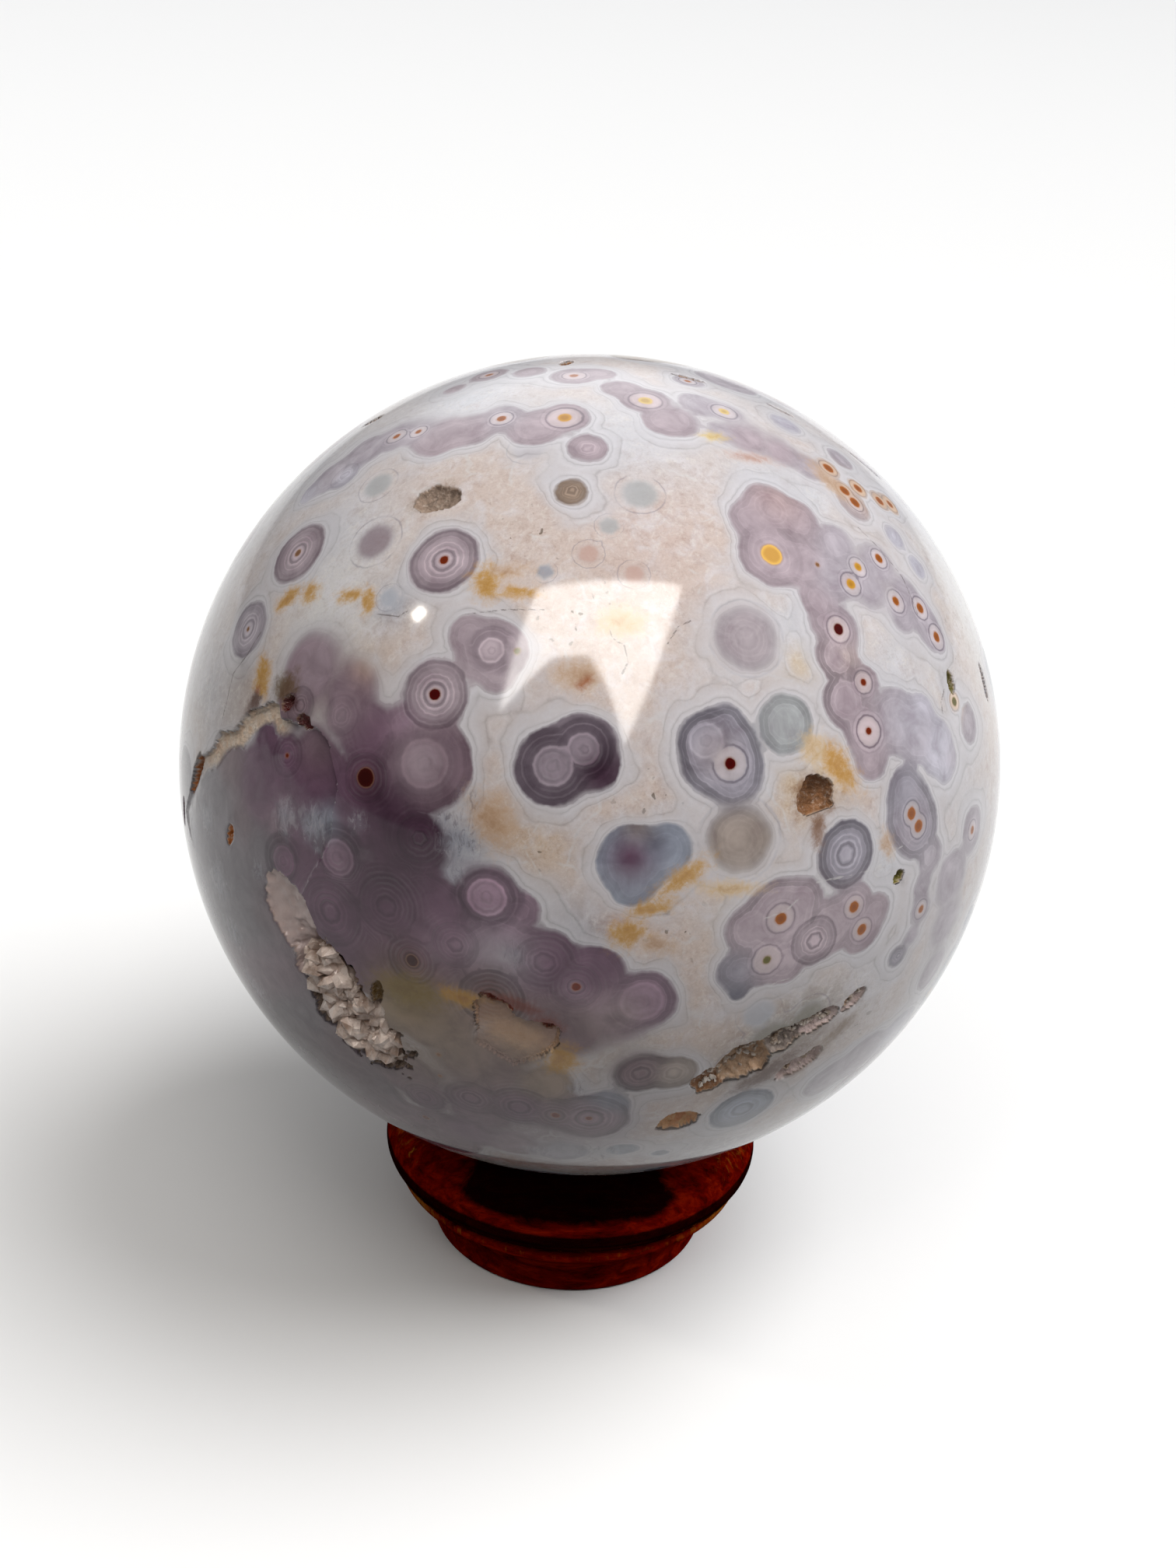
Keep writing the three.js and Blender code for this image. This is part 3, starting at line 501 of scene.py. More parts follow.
# The side that the photograph doesn't show: seeded chains of like orbs. Sizes in mm, shares of one.
backPattern = {
    "seed": 41,
    "clusters": 110,
    "tries": 60,                    # places tried for each cluster
    "gap": 4.6,                     # between clusters, and the smaller one within a chain
    "chainGap": 2,
    "step": (2.2, 3.6),             # from orb to orb
    "radius": (1.2, 2.8),
    "core": (0.24, 0.42),
    "coredShare": 0.62,
    "discShare": 0.55,              # orbs that are discs, and a disc's radius against its body's
    "discSize": (0.36, 0.52),
    "bodyTones": ["mauve", "lilac", "mauve", "palePlum", "greyLilac", "blueGrey", "taupe", "plum"],
    "coreTones": ["rust", "orange", "red", "amber", "honey", "moss"],
    "darkPlace": (158, -22),        # a dark purple area, as on the photographed face
    "darkReach": 11,
    "darkBodies": 46,
    "darkRadius": (2.0, 3.4),
    "darkTones": ["plum", "deepPlum", "dusk", "palePlum", "plum"],
    "washes": 80,
    "washRadius": (3, 9),
    "washTones": ["cream", "blueWhite", "pinkCream", "white", "iceBlue", "tan", "warmCream", "greyLilac"],
    "shadeTones": ["smoke", "warmGrey", "blueGrey"],
    "shares": {                     # how often a wash has each other mark at its place
        "stain": 0.3, "grain": 0.4, "haze": 0.3, "tint": 0.3, "banding": 0.3, "shade": 0.25, "smoke": 0.3,
    },
}


def gatherMarks():
    # every mark as a direction from the ball's centre with its sizes in mm
    tables = {
        "smoke": smokes, "wash": washes, "tint": tints, "shade": shades, "grain": grains, "haze": hazes,
        "banding": bandings, "milk": milks,
    }
    marks = {kind: [] for kind in ("disc", "orb", "stain", *tables)}
    for entry in orbs.values():
        spot, size = onBall(entry["x"], entry["y"])
        ring = entry["ring"] or entry["body"]
        kind = "target" if not entry["ring"] else "disc" if entry["core"] else "pool"
        core = entry["core"] * size
        marks["orb"].append((spot, ring * size, core, entry["coreTone"], entry["rings"], kind))
        marks["disc"].append((spot, entry["body"] * size, entry["tone"]))
    for chain in bodies.values():
        for x, y, radius, tone in chain:
            spot, size = onBall(x, y)
            marks["disc"].append((spot, radius * size, tone))
    for x, y, long, short, turn, tone in stains.values():
        spot, size = onBall(x, y)
        along = math.cos(math.radians(turn)) * eyeRight + math.sin(math.radians(turn)) * eyeUp
        along = unit(along - (along @ spot) * spot)
        marks["stain"].append((spot, along, long * size, short * size, tone))
    for kind, spots in tables.items():
        for x, y, radius, *rest in spots.values():
            spot, size = onBall(x, y)
            marks[kind].append((spot, radius * size, *rest))
    return marks


def addChains(marks, draw):
    placed = []

    def clear(spot, gap):
        if seenFrom(spot) > 0.1:
            return False
        return all(spot @ other < math.cos(gap / ballRadius) for other in placed)

    for _ in range(backPattern["clusters"]):
        for _ in range(backPattern["tries"]):
            spot = unit(draw.normal(size=3))
            if clear(spot, backPattern["gap"]):
                break
        else:
            continue
        heading = draw.normal(size=3)
        tone = backPattern["bodyTones"][draw.integers(8)]
        strength = draw.uniform(0.5, 1)
        for _ in range(draw.integers(1, 7)):
            radius = draw.uniform(*backPattern["radius"])
            aside = spot + draw.normal(size=3) * radius * 0.55 / ballRadius
            marks["disc"].append((unit(aside), radius * draw.uniform(0.6, 1), tone))
            core = draw.uniform(*backPattern["core"]) if draw.random() < backPattern["coredShare"] else 0
            kind = "target"
            if draw.random() < backPattern["discShare"]:
                kind = "disc" if core > 0 else "pool"
            ring = radius * (1 if kind == "target" else draw.uniform(*backPattern["discSize"]))
            coreTone = backPattern["coreTones"][draw.integers(6)]
            marks["orb"].append((spot, ring, core, coreTone, strength, kind))
            marks["disc"].append((spot, radius, tone))
            placed.append(spot)
            heading = unit(heading - (heading @ spot) * spot + 0.35 * draw.normal(size=3))
            spot = unit(spot + heading * draw.uniform(*backPattern["step"]) / ballRadius)
            if not clear(spot, backPattern["chainGap"]):
                break


def addDarkArea(marks, draw):
    middle = outwardAt(*backPattern["darkPlace"])
    for number in range(backPattern["darkBodies"]):
        spot = unit(middle + draw.normal(size=3) * backPattern["darkReach"] * 0.5 / ballRadius)
        radius = draw.uniform(*backPattern["darkRadius"])
        marks["disc"].append((spot, radius, backPattern["darkTones"][number % 5]))
        if number % 5 == 0:
            marks["orb"].append((spot, radius * 0.5, 0, "rust", 0.9, "pool"))
        if number % 3 == 0:
            marks["haze"].append((spot, 2.5))


def addWashes(marks, draw):
    def chosen(kind):
        return draw.random() < backPattern["shares"][kind]

    for _ in range(backPattern["washes"]):
        spot = unit(draw.normal(size=3))
        if seenFrom(spot) >= 0.05:
            continue
        tone = backPattern["washTones"][draw.integers(8)]
        marks["wash"].append((spot, draw.uniform(*backPattern["washRadius"]), tone, draw.uniform(0.5, 1)))
        if chosen("stain"):
            along = unit(np.cross(spot, draw.normal(size=3)))
            marks["stain"].append((spot, along, draw.uniform(1, 2.6), draw.uniform(0.5, 1.2), "ochre"))
        if chosen("grain"):
            marks["grain"].append((spot, 3.5))
        if chosen("haze"):
            marks["haze"].append((spot, 4.0))
        if chosen("tint"):
            marks["tint"].append((spot, 4.0, backPattern["bodyTones"][draw.integers(8)], 0.7))
        if chosen("banding"):
            marks["banding"].append((spot, 3.0, 0.8))
        if chosen("shade"):
            marks["shade"].append((spot, 4.5, backPattern["shadeTones"][draw.integers(3)], 0.7))
        if chosen("smoke"):
            beside = spot - np.cross(spot, [0, 0, 1]) * 0.2
            marks["smoke"].append((beside, draw.uniform(1.4, 2.2), "smoke"))


def allMarks():
    marks = gatherMarks()
    draw = np.random.default_rng(backPattern["seed"])
    addChains(marks, draw)
    addDarkArea(marks, draw)
    addWashes(marks, draw)
    return marks


def arcLength(directions, spots):
    return ballRadius * np.arccos(np.clip(directions @ spots.T, -1, 1))


def lineDistance(directions, lines):
    # mm to the nearest of the lines, each a chain of short chords over the ball
    nearest = np.full(len(directions), 9.0)
    points = directions * ballRadius
    for line in lines.values():
        chain = np.array([onBall(x, y)[0] * ballRadius for x, y in line])
        for start, end in zip(chain[:-1], chain[1:]):
            run = end - start
            share = np.clip((points - start) @ run / (run @ run), 0, 1)
            nearest = np.minimum(nearest, np.linalg.norm(points - start - share[:, None] * run, axis=1))
    return nearest


# Relief: hollows and pits. Heading, height and turn in degrees, then length, width and depth in mm, and
# the tone of the broken stone in each.
hollows = {
    "bigHollow": (-29.5, -13.5, -52, 10.4, 6.2, 2.7, "taupe"),
    "bigHead": (-34, -6.5, -40, 6.4, 4.6, 1.7, "shell"),
    "shallowLobe": (-38.5, -1.2, -48, 6.4, 4.4, 0.8, "shell"),
    "redPitHigh": (-44.9, 24.4, 60, 1.5, 1.1, 0.9, "red"),
    "redPitLow": (-41, 23, 10, 1.5, 1.2, 0.9, "red"),
    "ledgeCrevice": (-64, 8, 70, 4.2, 0.8, 1.2, "amber"),
    "ledgeEnd": (-70, -0.5, 80, 2.6, 0.8, 0.9, "amber"),
    "leftPit": (-52, 4.5, 85, 1.8, 0.9, 0.6, "amber"),
    "yellowVug": (-25.4, -7.8, 80, 2.2, 0.9, 0.6, "olive"),
    "patchPitLeft": (-9.8, -5.2, -20, 2.4, 0.9, 0.8, "rust"),
    "patchPitRight": (-3.4, -8.2, -15, 1.7, 0.9, 0.8, "rust"),
    "brownVug": (29.6, 20, 25, 3.2, 2.5, 1, "brown"),
    "highVug": (-37.5, 54.8, 20, 3.6, 2.4, 0.7, "taupe"),
    "cornerPit": (42.5, 6.9, 30, 1.2, 0.9, 0.6, "moss"),
    "pinkVug": (15.3, -26.4, 30, 2.9, 2.4, 1.1, "peach"),
    "greenPit": (61.4, 26.6, 75, 1.8, 1.2, 0.6, "moss"), "sidePit": (75, 22, 80, 3, 1.1, 0.7, "slate"),
    "sideSlit": (84, 10, 85, 3.4, 0.7, 0.8, "slate"),
    "crownSlitLeft": (-116, 83.6, 10, 2, 0.9, 0.7, "brown"),
    "crownSlitRight": (93, 79.8, 80, 2.6, 0.8, 0.8, "brown"),
    "shoulderSlit": (92, 67, 85, 2.2, 0.8, 0.7, "slate"),
    "shoulderCrack": (92, 53.4, 88, 4.4, 0.8, 0.9, "slate"),
    "leftShoulderPit": (-93, 57, 80, 1.9, 1, 0.8, "brown"), "backVug": (158, 14, 35, 6.8, 4, 1.9, "bone"),
    "backVugTail": (150, 8.5, 50, 3.8, 2.2, 1.1, "bone"),
    "backSlit": (-150, 32, 65, 3.8, 0.8, 0.8, "slate"),
    "backLow": (-128, -19, -30, 4.4, 2.4, 1.2, "fleshPink"),
    "backSmall": (121, -12, 15, 2.4, 1.8, 0.9, "brown"),
    "backRound": (178, -27, 0, 2.2, 1.8, 0.9, "brown"),
    "backCrown": (-172, 61, 40, 2.8, 1.4, 0.8, "brown"),
    "druzyStart": (18.5, -17.4, 35, 3.4, 2.2, 0.7, "brown"),
    "druzyMain": (22.2, -15.2, 35, 4.6, 3.6, 1.5, "tan"),
    "druzyMid": (27.2, -12.4, 25, 4.4, 2.2, 0.9, "warmGrey"),
    "druzyRight": (32, -10.8, 15, 3.8, 1.9, 0.7, "shell"),
    "druzyLow": (31.2, -18.4, 30, 4.2, 1.9, 0.7, "shell"),
    "druzyEnd": (37.5, -9, 40, 2.6, 1.4, 0.6, "shell"),
}

# How rough the smoother hollows are
smoothHollows = {
    "bigHead": 0.3, "shallowLobe": 0.2, "redPitHigh": 0.5, "redPitLow": 0.5, "druzyLow": 0.5,
    "druzyRight": 0.7, "druzyEnd": 0.6, "highVug": 0.7,
}

# Steps: a polygon's place, the directions of its deep and fading sides, the shift of its floor in mm, the
# tone of its broken edge, how far in the edge reaches, how far along it is bare, how rough and how bare the
# floor is, and the polygon, in mm along the level and up the ball
steps = {
    "ledge": {
        "place": (-50, 12), "deep": (-52, 22), "fade": (-49, -1), "shift": 1.5,
        # the ledge's broken edge is painted paler than the stone: painted light on a wall that faces away
        # from the light
        "tone": "paintedLightBone", "wall": (0.8, 1.6), "bareUntil": (1.0, 4.5), "floorRough": 0.12, "floorBare": 0.0,
        "outline": [
            (-10.1, -6.2), (-8.4, -3.6), (-6.9, -0.6), (-5.4, 0.4), (-4.4, 2.2), (-2.5, 3.1), (-1.4, 4.9),
            (0.8, 6.4), (1.9, 6.5), (2.4, 5.7), (4, 6), (5.9, 6.4), (7.5, 5.6), (9, 3.4), (9.4, -1), (7, -6),
            (0, -9), (-8, -9),
        ],
    },
    "patch": {
        "place": (-7, -9), "deep": (-5, -6), "fade": (-9, -17), "shift": 2.6,
        "tone": "fleshPink", "wall": (0.1, 0.3), "bareUntil": (90, 99), "floorRough": 0.3, "floorBare": 0.45,
        "outline": [
            (-3.1, 1.9), (-2.2, 2.5), (-1.3, 2.4), (-0.6, 1.6), (0.5, 1), (1.9, 0.9), (2.9, 0.2), (2.7, -1.2),
            (1.9, -2.1), (-0.4, -3.3), (-3, -1.6),
        ],
    },
}

stone = {
    "baseLevel": 7,                 # subdivisions of the starting sphere
    "fineWithin": (0.6, 0.28),      # mm: what lies this near a core, rim or line is divided, and again
    "rimBlur": 0.1,                 # mm over which a step's rim drops
    "stepRagged": (0.16, 0.1),      # mm that a step's rim wanders, widely and finely
    "stepGrit": 0.05,
    "hollowRagged": (0.24, 0.12),   # the same for a hollow's rim, as shares of its reach
    "hollowGrit": 0.3,
    "joining": 0.22,                # mm over which bodies run together
    "joiningPull": 0.8,
    "toneBlend": 0.55,              # mm over which their tones do
    "ringBlend": 0.12,              # share of a ring's radius over which neighbouring orbs meet
    "batch": 12000,                 # vertices worked on at once
}


def noiseAt(points, scale, seed=0):
    shift = Vector((seed * 7.3, seed * 3.1, seed * 5.7))
    return np.array([noise.noise(Vector(point) * scale + shift) for point in points])


def outlineDistance(x, y, outline):
    # mm inside an outline, negative outside
    inside = np.zeros(len(x), bool)
    nearest = np.full(len(x), 99.0)
    for (x0, y0), (x1, y1) in zip(outline, outline[1:] + outline[:1]):
        run = np.array([x1 - x0, y1 - y0])
        share = np.clip(((x - x0) * run[0] + (y - y0) * run[1]) / (run @ run), 0, 1)
        nearest = np.minimum(nearest, np.hypot(x - x0 - share * run[0], y - y0 - share * run[1]))
        crosses = (y0 > y) != (y1 > y)
        slope = (x1 - x0) * (y - y0) / (y1 - y0 if y1 != y0 else 1) + x0
        inside ^= crosses & (x < slope)
    return np.where(inside, nearest, -nearest)


def hollowReach(directions, hollow):
    # the vertices near a hollow and how far out in it they are, 1 at its rim
    heading, height, turn, length, width = hollow[:5]
    along, across, out = localAxes(heading, height, turn)
    near = np.nonzero(directions @ out > math.cos((length / 2 + 1.2) / ballRadius))[0]
    points = directions[near] * ballRadius
    return near, np.hypot(points @ along / (length / 2), points @ across / (width / 2))


def stepReach(directions, step):
    # the vertices near a step, mm inside its outline, its floor's depth there and mm along its level
    along, across, out = localAxes(*step["place"])
    near = np.nonzero(directions @ out > 0.9)[0]
    points = directions[near] * ballRadius
    inside = outlineDistance(points @ along, points @ across, step["outline"])
    deep, fade = outwardAt(*step["deep"]), outwardAt(*step["fade"])
    away = -unit(deep - (deep @ fade) * fade) * step["shift"]
    slant = directions[near] @ away
    floor = ballRadius - slant - np.sqrt(ballRadius ** 2 - away @ away + slant ** 2)
    return near, inside, floor, points @ along


def fineNeed(directions, marks):
    # mm from each vertex to the nearest thing that wants a fine mesh
    need = np.full(len(directions), 9.0)
    for spot, _, core, *_ in marks["orb"]:
        if core > 0:
            near = np.nonzero(directions @ spot > math.cos(2.5 / ballRadius))[0]
            need[near] = np.minimum(need[near], arcLength(directions[near], spot[None])[:, 0] - core)
    for hollow in hollows.values():
        near, reach = hollowReach(directions, hollow)
        size = min(hollow[3], hollow[4]) / 2
        within = np.where(reach < 1, np.minimum((1 - reach) * size, 0.4), (reach - 1) * size)
        need[near] = np.minimum(need[near], within)
    for step in steps.values():
        near, inside, floor, _ = stepReach(directions, step)
        need[near] = np.minimum(need[near], np.where(floor > 0.05, np.abs(inside), 9))
    for lines in (darkLines, paleLines):
        need = np.minimum(need, lineDistance(directions, lines))
    return need


def units(places):
    return places / np.linalg.norm(places, axis=1)[:, None]


def meshFrom(shape, name):
    mesh = bpy.data.meshes.new(name)
    shape.to_mesh(mesh)
    shape.free()
    return mesh


def fineBall(marks):
    shape = bmesh.new()
    bmesh.ops.create_icosphere(shape, subdivisions=stone["baseLevel"], radius=1)
    for within in stone["fineWithin"]:
        directions = units(np.array([vertex.co[:] for vertex in shape.verts]))
        close = fineNeed(directions, marks) < within
        shape.verts.index_update()
        edges = [edge for edge in shape.edges if close[edge.verts[0].index] or close[edge.verts[1].index]]
        bmesh.ops.subdivide_edges(shape, edges=edges, cuts=1, use_grid_fill=True)
        bmesh.ops.triangulate(shape, faces=shape.faces[:])
        for vertex in shape.verts:
            vertex.co.normalize()
    return meshFrom(shape, "jasperBall")


def smoothStep(low, high, values):
    share = np.clip((values - low) / (high - low), 0, 1)
    return share * share * (3 - 2 * share)


def carve(directions):
    # how deep each vertex lies below the polish, how rough and how bare it is and the bare stone's tone
    count = len(directions)
    depth, rough, bare = np.zeros(count), np.zeros(count), np.zeros(count)
    tone = np.tile(linear("tan"), (count, 1))
    wide, fine = stone["stepRagged"]
    for step in steps.values():
        near, inside, floor, level = stepReach(directions, step)
        places = directions[near]
        ragged = inside + wide * noiseAt(places, 30, 2) + fine * noiseAt(places, 80, 3)
        sunk = np.where(floor > 0, floor, 0) * smoothStep(0, stone["rimBlur"], ragged)
        grit = stone["stepGrit"] * noiseAt(places, 45, 4) * smoothStep(0, 0.6, ragged)
        use = sunk > 0.01
        edge = (1 - smoothStep(*step["wall"], ragged)) * smoothStep(0.2, 0.5, sunk)
        edge = edge * (1 - smoothStep(*step["bareUntil"], level))
        depth[near[use]] = (sunk + grit * smoothStep(0, 0.3, sunk))[use]
        rough[near[use]] = np.maximum(edge, step["floorRough"] * smoothStep(0.02, 0.25, sunk))[use]
        bare[near[use]] = np.maximum(edge, step["floorBare"] * smoothStep(0.05, 0.5, sunk))[use]
        tone[near[use]] = linear(step["tone"])
    wide, fine = stone["hollowRagged"]
    for number, (name, hollow) in enumerate(hollows.items()):
        near, reach = hollowReach(directions, hollow)
        places = directions[near]
        reach = reach * (1 + wide * noiseAt(places, 26, number) + fine * noiseAt(places, 75, number + 50))
        sunk = hollow[5] * np.sqrt(np.clip(1 - reach ** 2, 0, 1))
        sunk = sunk * (0.92 + stone["hollowGrit"] * noiseAt(places, 55, number + 9))
        use = sunk > np.maximum(depth[near], 0.01)
        depth[near[use]] = sunk[use]
        opened = smoothStep(0.0, 0.25, sunk[use])
        rough[near[use]] = opened * smoothHollows.get(name, 1.0)
        bare[near[use]] = np.maximum(bare[near[use]], opened)
        tone[near[use]] = linear(hollow[6])
    return {"sunk": depth, "rough": rough, "bare": bare, "bareTone": tone}


def columns(rows, tonePlace):
    spots = np.array([unit(row[0]) for row in rows])
    sizes = np.array([row[1] for row in rows])
    return spots, sizes, np.array([linear(row[tonePlace]) for row in rows])


def nearing(values, blend):
    # weights that favour the lowest value of each row
    return np.exp(-(values - values.min(1)[:, None]) / blend)


def blended(weights, values):
    total = weights.sum(1)
    return weights @ values / (total if values.ndim == 1 else total[:, None])


def markFields(directions, marks):
    # what the finish reads at each vertex, all in mm or shares
    discSpots, discSizes, discTones = columns(marks["disc"], 2)
    orbSpots, orbSizes, orbTones = columns(marks["orb"], 3)
    smokeSpots, smokeSizes, smokeTones = columns(marks["smoke"], 2)
    coreSizes, orbRings, orbKinds = (np.array([row[i] for row in marks["orb"]]) for i in (2, 4, 5))
    cored = coreSizes > 0
    parts = []
    for start in range(0, len(directions), stone["batch"]):
        here = directions[start:start + stone["batch"]]
        rows = np.arange(len(here))
        reach = arcLength(here, discSpots) - discSizes
        crowd = np.log(nearing(reach, stone["joining"]).sum(1))
        away = arcLength(here, orbSpots)
        share = away / orbSizes
        nearest = share.argmin(1)
        near = nearing(share, stone["ringBlend"])
        core = away[:, cored] - coreSizes[cored]
        bead = core.argmin(1)
        veil = arcLength(here, smokeSpots) / smokeSizes
        smoke = veil.argmin(1)
        parts.append({
            "bodyReach": reach.min(1) - stone["joining"] * crowd * stone["joiningPull"],
            "bodyTone": blended(nearing(reach, stone["toneBlend"]), discTones),
            "ringShare": share[rows, nearest],
            "ringReach": away[rows, nearest],
            "ringing": blended(near, orbRings),
            "discing": blended(near, orbKinds == "disc"),
            "pooling": blended(near, orbKinds == "pool"),
            "coreReach": core[rows, bead],
            "coreTone": orbTones[cored][bead],
            "smokeShare": veil[rows, smoke],
            "smokeTone": smokeTones[smoke],
        })
    fields = {name: np.concatenate([part[name] for part in parts]) for name in parts[0]}
    fields["darkLine"] = lineDistance(directions, darkLines)
    fields["paleLine"] = lineDistance(directions, paleLines)
    return fields


def washFields(directions, marks, fields):
    # tones and strengths that fade from the middle of each wash
    def fading(spot, size):
        return np.exp(-(arcLength(directions, spot[None])[:, 0] / size) ** 2)

    count = len(directions)
    fields["stoneTone"] = np.tile(linear("cream"), (count, 1))
    fields["haloTone"] = np.tile(linear("halo"), (count, 1))
    layers = {"wash": ("stoneTone",), "shade": ("stoneTone", "haloTone"), "tint": ("bodyTone",)}
    for kind, names in layers.items():
        for spot, size, tone, strength in marks[kind]:
            share = strength * fading(spot, size)[:, None]
            for name in names:
                fields[name] = fields[name] * (1 - share) + np.array(linear(tone)) * share
    fields["stain"] = np.zeros(count)
    fields["stainTone"] = np.tile(linear("ochre"), (count, 1))
    points = directions * ballRadius
    for spot, along, long, short, tone in marks["stain"]:
        reach = (points @ along / long) ** 2 + (points @ np.cross(spot, along) / short) ** 2
        share = np.exp(-reach) * (directions @ spot > 0.5)
        fields["stainTone"][share > fields["stain"]] = linear(tone)
        fields["stain"] = np.maximum(fields["stain"], share)
    for kind in ("grain", "haze", "banding", "milk"):
        fields[kind] = np.zeros(count)
        for spot, size, *strength in marks[kind]:
            fields[kind] = np.maximum(fields[kind], fading(spot, size) * (strength[0] if strength else 1))


def addField(mesh, name, values):
    if values.ndim == 1:
        field = mesh.attributes.new(name, "FLOAT", "POINT")
        field.data.foreach_set("value", values.astype(np.float32))
    else:
        field = mesh.attributes.new(name, "FLOAT_COLOR", "POINT")
        full = np.concatenate([values, np.ones((len(values), 1))], axis=1)
        field.data.foreach_set("color", full.astype(np.float32).ravel())


def addObject(name, mesh):
    item = bpy.data.objects.new(name, mesh)
    bpy.context.scene.collection.objects.link(item)
    return item


def placesIn(mesh):
    places = np.zeros(len(mesh.vertices) * 3)
    mesh.vertices.foreach_get("co", places)
    return places.reshape(-1, 3)


def normalsIn(mesh):
    normals = np.zeros(len(mesh.vertices) * 3)
    mesh.vertex_normals.foreach_get("vector", normals)
    return normals.reshape(-1, 3)


def makeBall():
    marks = allMarks()
    mesh = fineBall(marks)
    directions = units(placesIn(mesh))
    carved = carve(directions)
    places = directions * (ballRadius - carved["sunk"])[:, None] + ballCentre
    mesh.vertices.foreach_set("co", (places * mm).ravel())
    fields = markFields(directions, marks)
    washFields(directions, marks, fields)
    for name, values in (fields | carved).items():
        addField(mesh, name, values)
    mesh.polygons.foreach_set("use_smooth", [True] * len(mesh.polygons))
    mesh.update()
    normals = normalsIn(mesh)
    polished = carved["sunk"] < 0.002
    normals[polished] = directions[polished]
    mesh.normals_split_custom_set_from_vertices(normals)
    print("ball:", len(mesh.polygons), "triangles")
    return addObject("jasperBall", mesh)


# Shader maths: one socket with the arithmetic that the finishes use
class Reading:
    def __init__(self, nodes, socket):
        self.nodes = nodes
        self.socket = socket

    def beside(self, name):
        # another output of the same node
        return Reading(self.nodes, self.socket.node.outputs[name])

    def __add__(self, other):
        return self.nodes.maths("ADD", self, other)

    def __sub__(self, other):
        return self.nodes.maths("SUBTRACT", self, other)

    def __mul__(self, other):
        return self.nodes.maths("MULTIPLY", self, other)

    def __truediv__(self, other):
        return self.nodes.maths("DIVIDE", self, other)

    def __radd__(self, other):
        return self.nodes.maths("ADD", other, self)

    def __rsub__(self, other):
        return self.nodes.maths("SUBTRACT", other, self)


class Nodes:
    def __init__(self, tree):
        self.tree = tree

    # any node: its settings first, then its sockets' values or links
    def node(self, kind, settings=None, sockets=None, out=0):
        made = self.tree.nodes.new(kind)
        for name, value in (settings or {}).items():
            if name == "stops":
                self.setStops(made.color_ramp, value)
            else:
                setattr(made, name, value)
        for key, value in (sockets or {}).items():
            self.feed(made.inputs[key], value)
        return Reading(self, made.outputs[out])

    def setStops(self, ramp, stops):
        while len(ramp.elements) < len(stops):
            ramp.elements.new(1)
        for element, (position, value) in zip(ramp.elements, stops):
            element.position = position
            element.color = (*(value if isinstance(value, tuple) else (value,) * 3), 1)

    def feed(self, socket, value):
        if isinstance(value, Reading):
            self.tree.links.new(value.socket, socket)
        elif isinstance(value, list):
            for link in value:
                self.feed(socket, link)
        elif isinstance(value, tuple) and socket.type == "RGBA":
            socket.default_value = (*value, 1)
        else:
            socket.default_value = value

    def maths(self, operation, *values):
        return self.node("ShaderNodeMath", {"operation": operation}, dict(enumerate(values)))

    def vectorMaths(self, operation, *values, out=0):
        return self.node("ShaderNodeVectorMath", {"operation": operation}, dict(enumerate(values)), out)

    def between(self, value, low, high, atLow=0.0, atHigh=1.0, way="LINEAR"):
        return self.node("ShaderNodeMapRange", {"interpolation_type": way}, {
            0: value, 1: low, 2: high, 3: atLow, 4: atHigh,
        })

    def step(self, value, low, high):
        return self.between(value, low, high, way="SMOOTHSTEP")


class Finish(Nodes):
    def __init__(self, name):
        self.material = bpy.data.materials.new(name)
        self.material.use_nodes = True
        super().__init__(self.material.node_tree)
        self.shader = self.tree.nodes["Principled BSDF"]

    def give(self, socket, value):
        self.feed(self.shader.inputs[socket], value)

    def field(self, name, colour=False):
        return self.node("ShaderNodeAttribute", {"attribute_name": name}, out=0 if colour else 2)

    def ramp(self, value, stops):
        return self.node("ShaderNodeValToRGB", {"stops": stops}, {0: value})

    def mix(self, share, first, second, way="MIX"):
        settings = {"data_type": "RGBA", "blend_type": way}
        return self.node("ShaderNodeMix", settings, {0: share, 6: first, 7: second}, out=2)

    def tinted(self, colour, factor):
        # a colour times a number or another colour
        factor = (factor,) * 3 if isinstance(factor, (int, float)) else factor
        return self.mix(1.0, colour, factor, "MULTIPLY")

    def shaded(self, share, colour, factor):
        return self.mix(share, colour, self.tinted(colour, factor))

    def places(self):
        # the object's own coordinates in mm
        place = self.node("ShaderNodeTexCoord", out="Object")
        return self.node("ShaderNodeVectorMath", {"operation": "SCALE"}, {0: place, "Scale": 1000.0})

    def warped(self, place, scale, reach):
        # places pushed about by a wandering vector
        push = self.node("ShaderNodeTexNoise", None, {"Vector": place, "Scale": scale, "Detail": 2.0}, out=1)
        push = self.vectorMaths("SUBTRACT", push, (0.5, 0.5, 0.5))
        return self.vectorMaths("MULTIPLY_ADD", push, (reach, reach, reach), place)

    def stretched(self, place, turn, scale):
        return self.node("ShaderNodeMapping", None, {"Vector": place, "Rotation": turn, "Scale": scale})

    def grain(self, place, scale, detail=2.0, roughness=0.5, distortion=0.0):
        return self.node("ShaderNodeTexNoise", None, {
            "Vector": place, "Scale": scale, "Detail": detail, "Roughness": roughness,
            "Distortion": distortion,
        })

    def cells(self, place, scale, feature="F1", out=0):
        settings = {"feature": feature}
        return self.node("ShaderNodeTexVoronoi", settings, {"Vector": place, "Scale": scale}, out)

    def bump(self, height, strength, distance):
        sockets = {"Height": height, "Strength": strength, "Distance": distance}
        return self.node("ShaderNodeBump", None, sockets)


